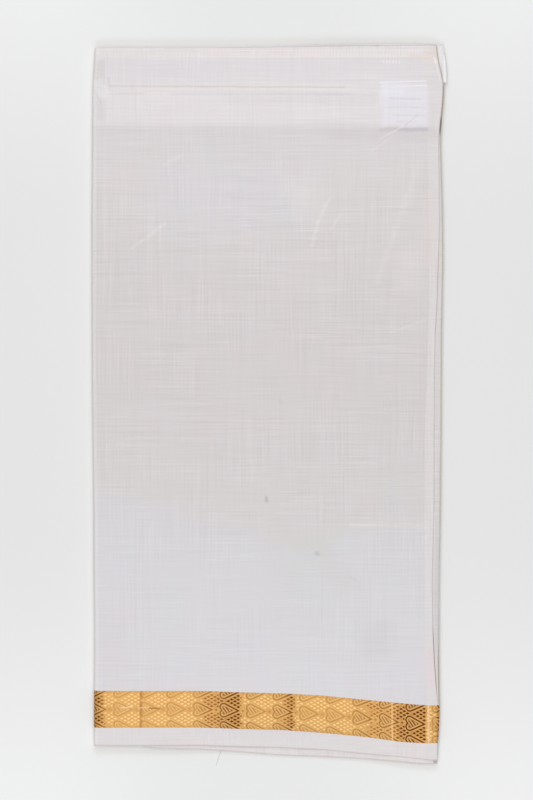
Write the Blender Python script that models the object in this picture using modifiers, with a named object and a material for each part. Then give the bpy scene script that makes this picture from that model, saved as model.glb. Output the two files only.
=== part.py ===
"""A dhoti folded into a long flat packet, lying on a surface.

The cloth is a woven length with a gold border inside each selvedge. It is folded once across its width, which
puts the fold at the far end (+Y) and both selvedges at the near end (-Y), and then over and over along its
length into a packet of many leaves. The outermost leaf comes round the fold at the left (-X) and ends at the
right in a turned hem.

Sizes are in millimetres and become metres where the meshes are made. The origin is on the surface that the
packet lies on, under the middle of its outline.
"""

import math

import bmesh
import bpy
import numpy as np
from mathutils import Vector

MM = 0.001

# Walls and clearances.
LEAF = 1.0  # one leaf's wall
HEM = 1.4  # the turned hem, which is the leaf doubled
HEM_ROUNDING = 0.4
FLAP = 1.0  # the end strip of an inner leaf
FLAP_ROUNDING = 0.3
SLIP = 0.4  # the label
GAP = 0.35  # between one layer and the next
SEAM = 0.3  # between pieces that meet edge to edge

# The packet.
STACK_TOP = 5.3  # top of the hidden layers where the packet is flat
STACK_FOOT = LEAF + GAP  # they lie on the leaf that runs back underneath
LIP = 1.15  # outer radius of the widthwise fold: two leaves and the gap between them
LIP_STEPS = 4
LIP_CLEAR = 1.6  # how far the second leaf ends short of the far edge, inside that fold
FOLD_STEPS = 6  # facets round the fold at the left
FOLD_REACH = 4.0  # how far in from the fold its height is read
SECOND_FOLD = 4.2  # the second leaf starts this far in from the fold
EASE = 6.0  # corners of an edge table are eased over this much each way

# How the upper leaves come down towards the packet's edges.
NEAR_SLOPE = 30.0  # length of the slope down to the near edge
SIDE_SLOPE = 12.0
SIDE_DROP = 0.9
FAR_SLOPE = 10.0
FAR_DROP = 0.7

# The leaf that runs back underneath, a little askew to the one on top.
UNDER_RIGHT = 142.0
UNDER_RISE = 13.0  # how far its near edge has moved in at its right end
UNDER_FAR_RISE = 2.2  # and its far edge out

# Steps in the upper leaves over the pieces between them.
STEP_WIDTH = 5.0
STEP_MARGIN = 1.5
FLAP_SINK = 0.9  # how far the flap is pressed into the layers under it
SLIP_SINK = 0.35


def table(columns, *rows):
    """The rows as one array for each named column."""
    return dict(zip(columns.split(), np.array(rows, float).T))


# Side edges: x of the left fold, the hem's stitch line, the top leaf's and the second leaf's right edges.
SIDES = table(
    "y fold hem_line leaf second",
    (-314, -152.3, 138.3, 146.2, 146.2),
    (-296, -152.3, 138.3, 146.2, 146.8),
    (-262, -152.3, 138.3, 146.2, 147.0),
    (-223, -152.3, 134.9, 143.6, 147.5),
    (-188, -152.5, 134.5, 142.0, 147.8),
    (-153, -153.1, 134.4, 141.8, 148.0),
    (-84, -153.2, 134.9, 143.6, 149.2),
    (-14, -154.0, 135.5, 143.6, 149.8),
    (56, -154.5, 137.6, 144.4, 150.1),
    (90, -154.6, 139.0, 146.2, 150.2),
    (125, -154.6, 139.2, 147.0, 150.9),
    (160, -154.6, 138.8, 147.0, 150.5),
    (230, -154.2, 137.4, 146.6, 148.6),
    (264, -154.0, 137.6, 148.6, 151.4),
    (279, -153.9, 137.6, 149.6, 151.6),
    (300, -152.3, 137.2, 146.0, 149.4),
    (314, -151.8, 137.0, 145.0, 148.0),
)

# End edges: y of the widthwise fold, the border's two edges, the near edges of the top leaf, the second leaf and
# the hidden layers, the top edge of the flap, and how far the upper leaves come down at the near edge.
ENDS = table(
    "x far band_far band_near near second_near stack_near flap_far drop",
    (-156, 310.2, -249.3, -281.4, -295.8, -292.0, -291.0, 309.0, 1.0),
    (-118, 310.2, -249.3, -281.4, -296.1, -293.0, -290.0, 309.2, 1.3),
    (-78, 310.2, -249.3, -281.4, -296.0, -297.5, -287.0, 309.6, 2.6),
    (-60, 310.2, -249.4, -281.5, -296.0, -299.7, -285.0, 309.8, 3.6),
    (-25, 310.2, -250.6, -282.8, -297.5, -302.3, -283.0, 310.2, 4.7),
    (10, 310.6, -251.4, -283.6, -298.4, -305.4, -283.0, 311.2, 5.1),
    (45, 311.5, -253.2, -286.2, -300.2, -306.7, -285.0, 312.6, 5.1),
    (80, 311.9, -256.7, -289.3, -304.5, -308.9, -289.0, 313.4, 5.0),
    (97, 311.9, -258.4, -291.5, -306.0, -310.2, -291.0, 313.5, 4.4),
    (115, 311.9, -260.1, -294.1, -307.2, -311.6, -295.0, 313.5, 3.4),
    (132, 312.1, -261.7, -294.9, -309.3, -313.2, -301.0, 313.5, 1.8),
    (150, 312.8, -262.2, -295.0, -310.2, -313.3, -304.0, 313.0, 1.2),
)
SECOND_SELVEDGE = 14.6
BAND_WIDTH = 32.3

# The flap and the label, seen through the leaf over them.
FLAP_LEFT = -141.0
FLAP_RIGHT = 154.4
FLAP_NEAR = table("x y", (-141, 276.2), (0, 276.6), (154.4, 279.4))
BEYOND = 400.0  # past every edge of the packet
SLIP_BOX = {"left": 94.8, "right": 136.4, "near": 238.6, "far": 280.0}

# Cloth never lies quite level: a faint ripple over the whole packet.
RIPPLE = 0.05
RIPPLE_ACROSS = 6.5  # radians of it are this many millimetres
RIPPLE_ALONG = 9.5

# Soft swells of the upper leaves: the middle of each, how far it reaches and how high it stands.
SWELLS = table(
    "x y reach_x reach_y rise",
    (-112, -262, 34, 40, 0.55),
    (-48, -240, 20, 60, -0.35),
    (2, -246, 24, 44, 0.35),
    (70, -236, 26, 40, 0.35),
    (120, -262, 20, 40, -0.30),
    (60, -120, 46, 50, -0.40),
    (-70, -60, 60, 90, 0.40),
    (30, 178, 34, 60, 0.45),
    (104, 165, 26, 40, 0.40),
    (-96, 140, 34, 40, 0.35),
)

# The edges of the hidden layers, from the top down: how far each one stands in from the edge above it all.
LAYERS = table(
    "right far near fold",
    (2.6, 1.9, 0.0, 2.4),
    (1.2, 2.6, 1.6, 2.2),
    (3.4, 1.8, 0.6, 2.1),
    (1.9, 2.9, 2.4, 2.1),
    (4.2, 2.1, 1.2, 2.4),
)
LAYER_GROOVE = 0.7  # depth of the groove between two of them

# Where the grids have their lines, chosen closer at the steps.
TOP_COLUMNS = (-150, -144, -136, -122, -106, -90, -74, -58, -42, -26, -10, 6, 22, 38, 54, 70, 82, 88, 93, 108, 123, 138)
UNDER_COLUMNS = (0.0, 0.1, 0.3, 0.5, 0.7, 0.9, 1.0)
LOWER_COLUMNS = (*TOP_COLUMNS, 149)
FLAP_COLUMNS = (-141, *TOP_COLUMNS[3:], 154)
FAR_ROWS = (232, 237.5, 248, 260, 269, 273, 277, 281, 287, 298, 309)
GROUND_ROWS = (*np.linspace(-249, 213, 17), *FAR_ROWS)
STACK_ROWS = (*np.linspace(-290, 213, 18), *FAR_ROWS)


def read(rows, column, at, key):
    """A table's column at a place along its key, with its corners eased."""
    return sum(np.interp(at + step, rows[key], rows[column]) for step in (-EASE, 0, EASE)) / 3


def side(column, y):
    return read(SIDES, column, y, "y")


def end(column, x):
    return read(ENDS, column, x, "x")


def eased(value, low, high):
    """From 0 at low to 1 at high, level at both."""
    part = np.clip((value - low) / (high - low), 0, 1)
    return part * part * (3 - 2 * part)


def within(value, low, high):
    """1 from a margin below low to a margin above high, falling to 0 over a step's width on each side."""
    low, high = low - STEP_MARGIN, high + STEP_MARGIN
    return eased(value, low - STEP_WIDTH, low) * (1 - eased(value, high, high + STEP_WIDTH))


def flap_near(x):
    return np.interp(x, FLAP_NEAR["x"], FLAP_NEAR["y"])


def flap_step(x, y):
    return within(x, FLAP_LEFT, BEYOND) * within(y, flap_near(x), BEYOND)


def slip_step(x, y):
    return within(x, SLIP_BOX["left"], SLIP_BOX["right"]) * within(y, SLIP_BOX["near"], SLIP_BOX["far"])


# Heights of the layers' faces. Each is worked out from the one under it, so every gap follows the swells.
def stack_top(x, y):
    height = STACK_TOP - end("drop", x) * (1 - eased(y - end("near", x), 0, NEAR_SLOPE))
    height = height - SIDE_DROP * (1 - eased(side("leaf", y) - x, 0, SIDE_SLOPE))
    height = height - FAR_DROP * (1 - eased(end("far", x) - y, 0, FAR_SLOPE))
    height = height + RIPPLE * math.sin(x / RIPPLE_ACROSS) * math.cos(y / RIPPLE_ALONG)
    for mid_x, mid_y, reach_x, reach_y, rise in zip(*SWELLS.values()):
        height = height + rise * np.exp(-(((x - mid_x) / reach_x) ** 2) - ((y - mid_y) / reach_y) ** 2)
    return height - FLAP_SINK * flap_step(x, y) - SLIP_SINK * slip_step(x, y)


def flap_top(x, y):
    return stack_top(x, y) + GAP + FLAP


def second_top(x, y):
    return stack_top(x, y) + flap_step(x, y) * (GAP + FLAP) + GAP + LEAF


def slip_top(x, y):
    return second_top(x, y) + GAP + SLIP


def leaf_top(x, y):
    return second_top(x, y) + slip_step(x, y) * (GAP + SLIP) + GAP + LEAF


def hem_top(x, y):
    return leaf_top(x, y) + HEM - LEAF


# The top leaf's path from the hem round the fold to the underside. Each station is a place on that path.
def leaf_path():
    low, high = TOP_COLUMNS[0], TOP_COLUMNS[-1]
    under = [("under", part) for part in UNDER_COLUMNS[:0:-1]]
    fold = [("fold", math.pi * step / FOLD_STEPS) for step in range(FOLD_STEPS, 0, -1)]
    top = [("top", (x - low) / (high - low)) for x in TOP_COLUMNS]
    return under + fold + top


def leaf_place(station, near, far, row, lip=0.0):
    """A point of the top leaf's outer face: a row between two of its end edges, or an angle round the lip."""
    kind, part = station
    nominal = TOP_COLUMNS[0]
    if kind == "top":
        nominal += (TOP_COLUMNS[-1] - nominal) * part
    y = near(nominal) + (far(nominal) - near(nominal)) * row
    fold_x = side("fold", y)
    radius = leaf_top(fold_x + FOLD_REACH, y) / 2
    if kind == "top":
        x = fold_x + radius + (side("hem_line", y) - SEAM - fold_x - radius) * part
        point, inward = (x, y, leaf_top(x, y)), (0, 0, -1)
    elif kind == "fold":
        inward = (math.sin(part), 0, -math.cos(part))
        point = (fold_x + radius - radius * inward[0], y, radius - radius * inward[2])
    else:
        x = fold_x + radius + (UNDER_RIGHT - fold_x - radius) * part
        far_rise = UNDER_FAR_RISE if far is far_edge else UNDER_RISE
        rise = UNDER_RISE + (far_rise - UNDER_RISE) * row
        point, inward = (x, y + rise * part, 0.0), (0, 0, 1)
    point = np.array(point) + np.array(inward) * LIP * (1 - math.cos(lip))
    return point + np.array((0, LIP * math.sin(lip), 0))


def far_edge(x):
    return end("far", x) - LIP


def strip_edge(column, shift=0.0):
    return lambda x: end(column, x) + shift


# Making the meshes.
def add_object(name, mesh, colour, roughness=0.8, metallic=0.0):
    obj = bpy.data.objects.new(name, mesh)
    parts.objects.link(obj)
    material = bpy.data.materials.new(name)
    material.use_nodes = True
    shader = material.node_tree.nodes["Principled BSDF"]
    shader.inputs["Base Color"].default_value = (*colour, 1)
    shader.inputs["Roughness"].default_value = roughness
    shader.inputs["Metallic"].default_value = metallic
    mesh.materials.append(material)
    mesh.shade_smooth()
    mesh.set_sharp_from_angle(angle=math.radians(40))
    return obj


def grid(columns, rows, place):
    """An open grid whose lines are at place(column, row), in millimetres."""
    bm = bmesh.new()
    bmesh.ops.create_grid(bm, x_segments=columns - 1, y_segments=rows - 1, size=0.5)
    for vert in bm.verts:
        column = round((vert.co.x + 0.5) * (columns - 1))
        row = round((vert.co.y + 0.5) * (rows - 1))
        vert.co = Vector(place(column, row)) * MM
    return bm


def sheet(name, columns, rows, place, wall, colour, rounding=0.0, **finish):
    """A leaf: a grid of its outer face, thickened inwards, with its rim rounded where it is a fold."""
    bm = grid(columns, rows, place)
    mesh = bpy.data.meshes.new(name)
    bm.to_mesh(mesh)
    bm.free()
    obj = add_object(name, mesh, colour, **finish)
    solidify = obj.modifiers.new("wall", "SOLIDIFY")
    solidify.thickness = wall * MM
    solidify.offset = -1
    if rounding:
        bevel = obj.modifiers.new("fold", "BEVEL")
        bevel.width = rounding * MM
        bevel.segments = 2
        bevel.limit_method = "ANGLE"
        bevel.angle_limit = math.radians(60)
    return obj


def wrapped(name, near, far, rows, colour, lip=False, **finish):
    """A stretch of the top leaf, from one end edge to another, all the way round its path."""
    path = leaf_path()
    places = [(row, 0.0) for row in rows]
    if lip:
        places += [(1.0, math.pi * step / LIP_STEPS) for step in range(1, LIP_STEPS + 1)]

    def place(column, row):
        return leaf_place(path[column], near, far, *places[row])

    return sheet(name, len(path), len(places), place, LEAF, colour, **finish)


def flat(name, left, right, near, far, columns, rows, top, wall, colour, **finish):
    """A piece that lies on the one below: between its left and right edges and its near and far edges."""

    def place(column, row):
        across, along = columns[column], rows[row]
        nominal = LOWER_COLUMNS[0] + (LOWER_COLUMNS[-1] - LOWER_COLUMNS[0]) * across
        for _ in range(2):
            y = near(nominal) + (far(nominal) - near(nominal)) * along
            nominal = left(y) + (right(y) - left(y)) * across
        return nominal, y, top(nominal, y)

    return sheet(name, len(columns), len(rows), place, wall, colour, **finish)


def fractions(places):
    """Places along a grid as parts of the way from the first to the last."""
    places = np.array(places, float)
    return (places - places[0]) / (places[-1] - places[0])


# The pieces.
GROUND = (0.72, 0.69, 0.68)
GROUND_UNDER = (0.62, 0.61, 0.62)
HEM_COLOUR = (0.76, 0.72, 0.71)
GOLD = (0.66, 0.42, 0.15)
GOLD_DARK = (0.42, 0.24, 0.08)
PAPER = (0.82, 0.82, 0.86)
THREE_STRIPS = (0.0, 1 / 3, 2 / 3, 1.0)
TWO_STRIPS = (0.0, 0.5, 1.0)


def top_leaf():
    rows = fractions(GROUND_ROWS)
    wrapped("top_leaf", strip_edge("band_far", SEAM), far_edge, rows, GROUND, lip=True)
    band_near, band_far = strip_edge("band_near", SEAM), strip_edge("band_far")
    wrapped("top_band", band_near, band_far, THREE_STRIPS, GOLD, roughness=0.4, metallic=0.6)
    wrapped("top_selvedge", strip_edge("near"), strip_edge("band_near"), TWO_STRIPS, GROUND)


def hems():
    def left(y):
        return side("hem_line", y)

    def right(y):
        return side("leaf", y)

    rounded = {"top": hem_top, "wall": HEM, "rounding": HEM_ROUNDING}
    flat("hem", left, right, strip_edge("band_far", SEAM), strip_edge("far"), TWO_STRIPS,
         fractions(GROUND_ROWS), colour=HEM_COLOUR, **rounded)
    flat("hem_band", left, right, strip_edge("band_near", SEAM), strip_edge("band_far"), TWO_STRIPS,
         THREE_STRIPS, colour=GOLD, roughness=0.4, metallic=0.6, **rounded)
    flat("hem_selvedge", left, right, strip_edge("near"), strip_edge("band_near"), TWO_STRIPS, TWO_STRIPS,
         colour=HEM_COLOUR, **rounded)


def second_leaf():
    def left(y):
        return side("fold", y) + SECOND_FOLD

    def right(y):
        return side("second", y)

    band_near = SECOND_SELVEDGE
    band_far = SECOND_SELVEDGE + BAND_WIDTH
    across = fractions(LOWER_COLUMNS)
    rows = fractions(GROUND_ROWS)
    layer = {"top": second_top, "wall": LEAF}
    flat("second_leaf", left, right, strip_edge("second_near", band_far + SEAM), strip_edge("far", -LIP_CLEAR), across,
         rows, colour=GROUND_UNDER, **layer)
    flat("second_band", left, right, strip_edge("second_near", band_near + SEAM),
         strip_edge("second_near", band_far), across, THREE_STRIPS, colour=GOLD_DARK, roughness=0.5, metallic=0.5,
         **layer)
    flat("second_selvedge", left, right, strip_edge("second_near"), strip_edge("second_near", band_near), across,
         THREE_STRIPS, colour=GROUND_UNDER, **layer)


def inner_flap():
    flat("inner_flap", lambda y: FLAP_LEFT, lambda y: FLAP_RIGHT, flap_near, strip_edge("flap_far"),
         fractions(FLAP_COLUMNS), THREE_STRIPS, flap_top, FLAP, HEM_COLOUR, rounding=FLAP_ROUNDING)


def label():
    box = SLIP_BOX
    flat("label", lambda y: box["left"], lambda y: box["right"], lambda x: box["near"], lambda x: box["far"],
         THREE_STRIPS, THREE_STRIPS, slip_top, SLIP, PAPER)


def hidden_layers():
    """The leaves inside: a sheet over the top, and a rounded edge for each leaf down the sides."""

    def place(across, along, inset):
        right, far, near, fold = inset
        nominal = LOWER_COLUMNS[0] + (LOWER_COLUMNS[-1] - LOWER_COLUMNS[0]) * across
        for _ in range(2):
            near_y = end("stack_near", nominal) + near
            y = near_y + (end("far", nominal) - far - near_y) * along
            left_x = side("fold", y) + fold
            nominal = left_x + (side("second", y) - right - left_x) * across
        return nominal, y

    edges = []
    insets = np.array([LAYERS[name] for name in ("right", "far", "near", "fold")]).T
    for number, inset in enumerate(insets):
        middle = (number + 0.5) / len(insets)
        edges += [(middle, inset), (middle + 0.5 / len(insets), inset + LAYER_GROOVE)]

    columns, rows = fractions(LOWER_COLUMNS), fractions(STACK_ROWS)

    def top_place(column, row):
        x, y = place(columns[column], rows[row], insets[0] + LAYER_GROOVE)
        return x, y, stack_top(x, y)

    bm = grid(len(columns), len(rows), top_place)
    where = bm.verts.layers.float_vector.new("where")
    for vert in bm.verts:
        row, column = divmod(vert.index, len(columns))
        vert[where] = (columns[column], rows[row], 0)
    rim = [edge for edge in bm.edges if edge.is_boundary]
    for depth, inset in edges:
        made = bmesh.ops.extrude_edge_only(bm, edges=rim)["geom"]
        rim = [item for item in made if isinstance(item, bmesh.types.BMEdge)]
        for vert in {vert for edge in rim for vert in edge.verts}:
            across, along, _ = vert[where]
            x, y = place(across, along, inset)
            height = stack_top(*place(across, along, insets[0] + LAYER_GROOVE))
            vert.co = Vector((x, y, height + (STACK_FOOT - height) * depth)) * MM
    bmesh.ops.contextual_create(bm, geom=rim)
    bmesh.ops.recalc_face_normals(bm, faces=bm.faces)
    mesh = bpy.data.meshes.new("hidden_layers")
    bm.to_mesh(mesh)
    bm.free()
    add_object("hidden_layers", mesh, GROUND_UNDER)


for old in list(bpy.data.objects):
    bpy.data.objects.remove(old)
parts = bpy.data.collections.new("dhoti_cloth")
bpy.context.scene.collection.children.link(parts)

hidden_layers()
inner_flap()
second_leaf()
label()
top_leaf()
hems()
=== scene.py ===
# %% [markdown]
# # A folded dhoti cloth
# A dhoti is one long rectangle of thin white cotton, 1.22 m wide and 3.66 m long, with a golden
# border woven along both of its long edges. In a shop it lies folded: once across its width, and
# then into twelve panels along its length, so what we build is a flat packet of 24 leaves.
#
# We could model the packet as one soft block, but then every edge would look like foam. Here each
# leaf that can be seen is its own thin sheet, laid at its own height, and only the leaves inside
# are made together. The CAD model says how high each leaf lies, and this script repeats its sizes.

import math

import bpy
import numpy as np
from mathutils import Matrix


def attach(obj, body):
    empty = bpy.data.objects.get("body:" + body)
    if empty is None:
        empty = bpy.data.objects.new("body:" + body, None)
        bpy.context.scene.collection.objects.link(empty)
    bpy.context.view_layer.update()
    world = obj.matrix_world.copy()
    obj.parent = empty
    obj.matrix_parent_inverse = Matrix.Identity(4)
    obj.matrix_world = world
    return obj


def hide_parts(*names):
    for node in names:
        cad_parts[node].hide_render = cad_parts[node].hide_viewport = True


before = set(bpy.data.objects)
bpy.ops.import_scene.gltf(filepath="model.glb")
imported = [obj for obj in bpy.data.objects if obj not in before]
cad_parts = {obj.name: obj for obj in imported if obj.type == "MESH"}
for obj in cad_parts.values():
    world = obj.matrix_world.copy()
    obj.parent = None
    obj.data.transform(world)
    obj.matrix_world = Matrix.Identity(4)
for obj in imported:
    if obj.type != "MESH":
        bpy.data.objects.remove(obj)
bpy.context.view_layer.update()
bpy.ops.object.select_all(action="DESELECT")

MM = 0.001  # every size below is in millimetres, and Blender counts in metres
print("nodes in the frame:", ", ".join(sorted(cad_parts)))

# %% [markdown]
# ## The outline, as tables
# Folded cloth never has straight edges. We could bend the edges with a modifier, but a table is
# easier to read and to change: each row is one place along the packet and says where each edge lies
# there. `SIDES` goes along the length and gives x for the fold on the left, the inner edge of
# the hem, the edge of the top leaf, and the edge of the second leaf that peeps out under it. `ENDS`
# goes across the width and gives y for the far and near edges of the leaves and for the border's two
# edges. Its last column says how much lower the stack inside is at its near end.

# %% Edges of the leaves
def table(columns, *rows):
    return dict(zip(columns.split(), np.array(rows, float).T))


SIDES = table(
    "y fold hem_line leaf second",
    (-314, -152.4, 138.3, 146.4, 146.4),
    (-296, -152.4, 138.3, 146.6, 147.2),
    (-270, -152.4, 138.3, 147.0, 148.6),
    (-249, -152.3, 137.0, 146.0, 148.2),
    (-223, -152.0, 134.9, 144.0, 147.8),
    (-188, -151.9, 134.5, 142.4, 147.9),
    (-153, -152.5, 134.4, 142.0, 148.0),
    (-84, -152.6, 134.9, 143.6, 149.2),
    (-14, -153.6, 135.5, 143.6, 149.8),
    (56, -154.1, 137.6, 144.4, 150.1),
    (90, -154.2, 139.0, 146.4, 150.7),
    (125, -154.2, 139.2, 147.4, 151.4),
    (160, -154.2, 138.8, 148.3, 151.0),
    (196, -154.0, 138.0, 148.0, 150.2),
    (230, -153.8, 137.4, 147.6, 149.2),
    (246, -153.7, 137.5, 148.8, 150.2),
    (264, -153.6, 137.6, 150.8, 152.1),
    (279, -153.5, 137.6, 151.4, 152.4),
    (300, -151.9, 137.2, 146.6, 147.4),
    (314, -151.4, 137.0, 145.2, 146.0),
)
ENDS = table(
    "x far band_far band_near near second_near stack_near flap_far drop",
    (-156, 310.2, -249.3, -281.4, -297.0, -293.0, -291.0, 309.0, 1.0),
    (-122, 310.2, -249.3, -281.4, -297.4, -295.0, -290.0, 309.2, 1.3),
    (-104, 310.2, -249.3, -281.4, -297.4, -299.4, -288.0, 309.4, 1.8),
    (-78, 310.2, -249.3, -281.4, -297.3, -300.3, -287.0, 309.6, 2.6),
    (-60, 310.2, -249.4, -281.5, -297.4, -300.8, -285.0, 309.8, 3.6),
    (-25, 310.2, -250.6, -282.8, -298.7, -303.2, -283.0, 310.2, 4.7),
    (10, 310.6, -251.4, -283.6, -299.6, -306.2, -283.0, 311.2, 5.1),
    (45, 311.5, -253.2, -286.2, -301.2, -307.4, -285.0, 312.6, 5.1),
    (80, 311.9, -256.7, -289.3, -304.5, -308.9, -289.0, 313.4, 4.4),
    (97, 311.9, -258.4, -291.5, -306.0, -310.2, -291.0, 313.5, 3.5),
    (115, 311.9, -260.1, -294.1, -307.2, -311.6, -295.0, 313.5, 2.6),
    (132, 312.1, -261.7, -294.9, -309.3, -313.2, -301.0, 313.5, 1.8),
    (150, 312.8, -262.2, -295.0, -310.2, -313.3, -304.0, 313.0, 1.2),
)
CORNER_EASE = 6.0  # a table's corners are rounded over this length


def read(rows, column, at, key):
    """A table's column at places along its key, with its corners eased."""
    return sum(np.interp(at + step, rows[key], rows[column]) for step in (-CORNER_EASE, 0, CORNER_EASE)) / 3


def side(column, y):
    return read(SIDES, column, y, "y")


def end(column, x):
    return read(ENDS, column, x, "x")


print("width at the middle:", round(float(side("second", 0.0) - side("fold", 0.0)), 1), "mm")
print("length at the middle:", round(float(end("far", 0.0) - end("second_near", 0.0)), 1), "mm")

# %% [markdown]
# ## The heights, one leaf above the other
# The stack of inner leaves is about 5 mm high. It thins out towards its rims, and here and there it
# swells or sinks a little. Every leaf above takes its height from the one below plus a small gap, so
# nothing can cut through anything else. We could drape the sheets by a simulation instead, but a
# packet that has been pressed flat hardly moves, and worked-out heights stay the same every run.
#
# Two things lie between the leaves: a flap along the far end and a paper slip in the far right
# corner. The leaves over them step up, eased over a few millimetres as cloth does.

# %% Heights of the faces
LEAF, FLAP, SLIP = 1.0, 1.0, 0.4  # room for a leaf, the flap and the slip
GAP = 0.35  # air between them
STACK_TOP = 5.3
NEAR_SLOPE = 30.0  # how far inside the near edge the stack starts to thin out
SIDE_SLOPE, SIDE_DROP = 12.0, 0.9  # the same for the right edge, and how much it drops there
FAR_SLOPE, FAR_DROP = 10.0, 1.7
STEP_WIDTH, STEP_MARGIN = 5.0, 1.5  # width of a step in the leaves above, and how far out it ends
FLAP_SINK, SLIP_SINK = 0.9, 0.35  # how far each presses into the stack
FLAP_LEFT = -141.0
FLAP_RIGHT = table("y x", (277, 154.8), (290, 154.6), (298, 153.8), (306, 152.4), (314, 151.6))
FLAP_NEAR = table("x y", (-141, 276.2), (0, 276.6), (154.4, 279.4))
BEYOND = 400.0  # past every edge of the packet
SLIP_BOX = {"left": 94.8, "right": 136.4, "near": 238.6, "far": 280.0}
SWELLS = table(
    "x y reach_x reach_y rise",
    (-112, -262, 34, 40, 0.55),
    (-48, -240, 20, 60, -0.35),
    (2, -246, 24, 44, 0.35),
    (70, -236, 26, 40, 0.35),
    (120, -262, 20, 40, -0.30),
    (60, -120, 46, 50, -0.40),
    (-70, -60, 60, 90, 0.40),
    (30, 178, 34, 60, 0.45),
    (104, 165, 26, 40, 0.40),
    (-96, 140, 34, 40, 0.35),
)


def eased(value, low, high):
    """From 0 at low to 1 at high, level at both."""
    part = np.clip((value - low) / (high - low), 0, 1)
    return part * part * (3 - 2 * part)


def within(value, low, high):
    """1 between low and high, falling to 0 over a step's width outside them."""
    low, high = low - STEP_MARGIN, high + STEP_MARGIN
    return eased(value, low - STEP_WIDTH, low) * (1 - eased(value, high, high + STEP_WIDTH))


def flap_near(x):
    return np.interp(x, FLAP_NEAR["x"], FLAP_NEAR["y"])


def flap_right(y):
    return np.interp(y, FLAP_RIGHT["y"], FLAP_RIGHT["x"])


def flap_step(x, y):
    return within(x, FLAP_LEFT, BEYOND) * within(y, flap_near(x), BEYOND)


def slip_step(x, y):
    return within(x, SLIP_BOX["left"], SLIP_BOX["right"]) * within(y, SLIP_BOX["near"], SLIP_BOX["far"])


def stack_top(x, y):
    height = STACK_TOP - end("drop", x) * (1 - eased(y - end("near", x), 0, NEAR_SLOPE))
    height = height - SIDE_DROP * (1 - eased(side("leaf", y) - x, 0, SIDE_SLOPE))
    height = height - FAR_DROP * (1 - eased(end("far", x) - y, 0, FAR_SLOPE))
    for mid_x, mid_y, reach_x, reach_y, rise in zip(*SWELLS.values()):
        height = height + rise * np.exp(-(((x - mid_x) / reach_x) ** 2) - ((y - mid_y) / reach_y) ** 2)
    return height - FLAP_SINK * flap_step(x, y) - SLIP_SINK * slip_step(x, y)


def flap_top(x, y):
    return stack_top(x, y) + GAP + FLAP


def second_top(x, y):
    return stack_top(x, y) + flap_step(x, y) * (GAP + FLAP) + GAP + LEAF


def slip_top(x, y):
    return second_top(x, y) + GAP + SLIP


def leaf_top(x, y):
    return second_top(x, y) + slip_step(x, y) * (GAP + SLIP) + GAP + LEAF


for spot, x, y in (("middle", 0.0, 0.0), ("over the slip", 115.0, 260.0), ("near edge", 20.0, -297.0)):
    print("top leaf,", spot, "is at", round(float(leaf_top(x, y)), 2), "mm")

# %% [markdown]
# ## Creases
# The cloth has been handled since it was pressed: there are a few short slanting creases near the
# fold and the slip, and shallow waves everywhere. Long creases of a few millimetres can be moved
# vertices, so they are a table too: where a crease starts and ends, how wide it is and how high it
# stands, or how deep it sinks when its rise is negative. No two are alike in length or depth. The
# underside gets its own few, because a stranger may turn the packet over.

# %% Creases as moved vertices
CREASES = table(
    "x1 y1 x2 y2 width rise",
    (-121, 133, -88, 159, 2.6, 0.42),
    (-117, 128, -92, 149, 3.4, -0.22),
    (37, 138, 46, 163, 2.4, 0.40),
    (46, 163, 53.5, 181, 2.2, 0.34),
    (52, 150, 62, 166, 2.4, 0.20),
    (48, 166, 40, 186, 3.0, -0.18),
    (89, 221, 108, 232, 2.4, 0.32),
    (108, 232, 128, 250, 2.2, 0.28),
    (92, 104, 112, 168, 6.0, 0.28),
    (112, 168, 134, 222, 5.0, 0.24),
    (84, 128, 104, 196, 7.0, -0.22),
    (104, 72, 136, 60, 2.4, 0.18),
    (110, 64, 133, 74, 2.2, -0.14),
    (-91, 208, -76, 216, 2.4, 0.20),
    (4, 6, 15, -2, 2.4, 0.15),
    (-150, 252, -139, 284, 3.2, 0.50),
    (-153, 262, -141, 246, 3.4, -0.40),
    (-40, -232, 30, -238, 9.0, 0.16),
    (-150, -60, -128, 30, 12.0, -0.12),
    (60, -206, 118, -196, 8.0, 0.14),
    (-60, 110, 40, 96, 14.0, 0.14),
    (-104, -132, -30, -118, 16.0, -0.16),
    (10, -20, 96, -38, 15.0, 0.16),
    (30, -128, 72, -168, 9.0, -0.16),
    (84, -196, 104, -216, 7.0, -0.14),
)
UNDERSIDE_CREASES = table(
    "x1 y1 x2 y2 width rise",
    (-96, 120, -38, 168, 4.0, 0.35),
    (-20, -40, 66, -66, 9.0, 0.30),
    (58, 204, 92, 236, 3.6, 0.28),
    (-118, -214, -70, -196, 6.0, 0.30),
)


def crease_rise(creases, x, y):
    """How much the creases lift each point."""
    total = np.zeros(np.broadcast(x, y).shape)
    for x1, y1, x2, y2, width, rise in zip(*creases.values()):
        length = math.hypot(x2 - x1, y2 - y1)
        along = ((x - x1) * (x2 - x1) + (y - y1) * (y2 - y1)) / length
        off = ((y - y1) * (x2 - x1) - (x - x1) * (y2 - y1)) / length
        fade = eased(along, -0.15 * length, 0.3 * length) * (1 - eased(along, 0.7 * length, 1.15 * length))
        total = total + rise * fade * np.exp(-((off / width) ** 2))
    return total


# Shallow waves: how long a wave is across and along, where it starts, and how high it is.
WAVES = (
    (61, 217, 0.4, 0.07),
    (-143, 88, 1.9, 0.06),
    (37, -310, 3.1, 0.05),
    (212, 47, 5.0, 0.05),
    (23, 71, 2.2, 0.02),
)


def wave_rise(x, y):
    """How much all the waves together lift each point."""
    total = 0
    for across, along, start, rise in WAVES:
        total = total + rise * np.sin(2 * math.pi * (x / across + y / along) + start)
    return total


print(len(CREASES["x1"]), "creases on top,", len(UNDERSIDE_CREASES["x1"]), "below, and", len(WAVES), "waves")

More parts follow.
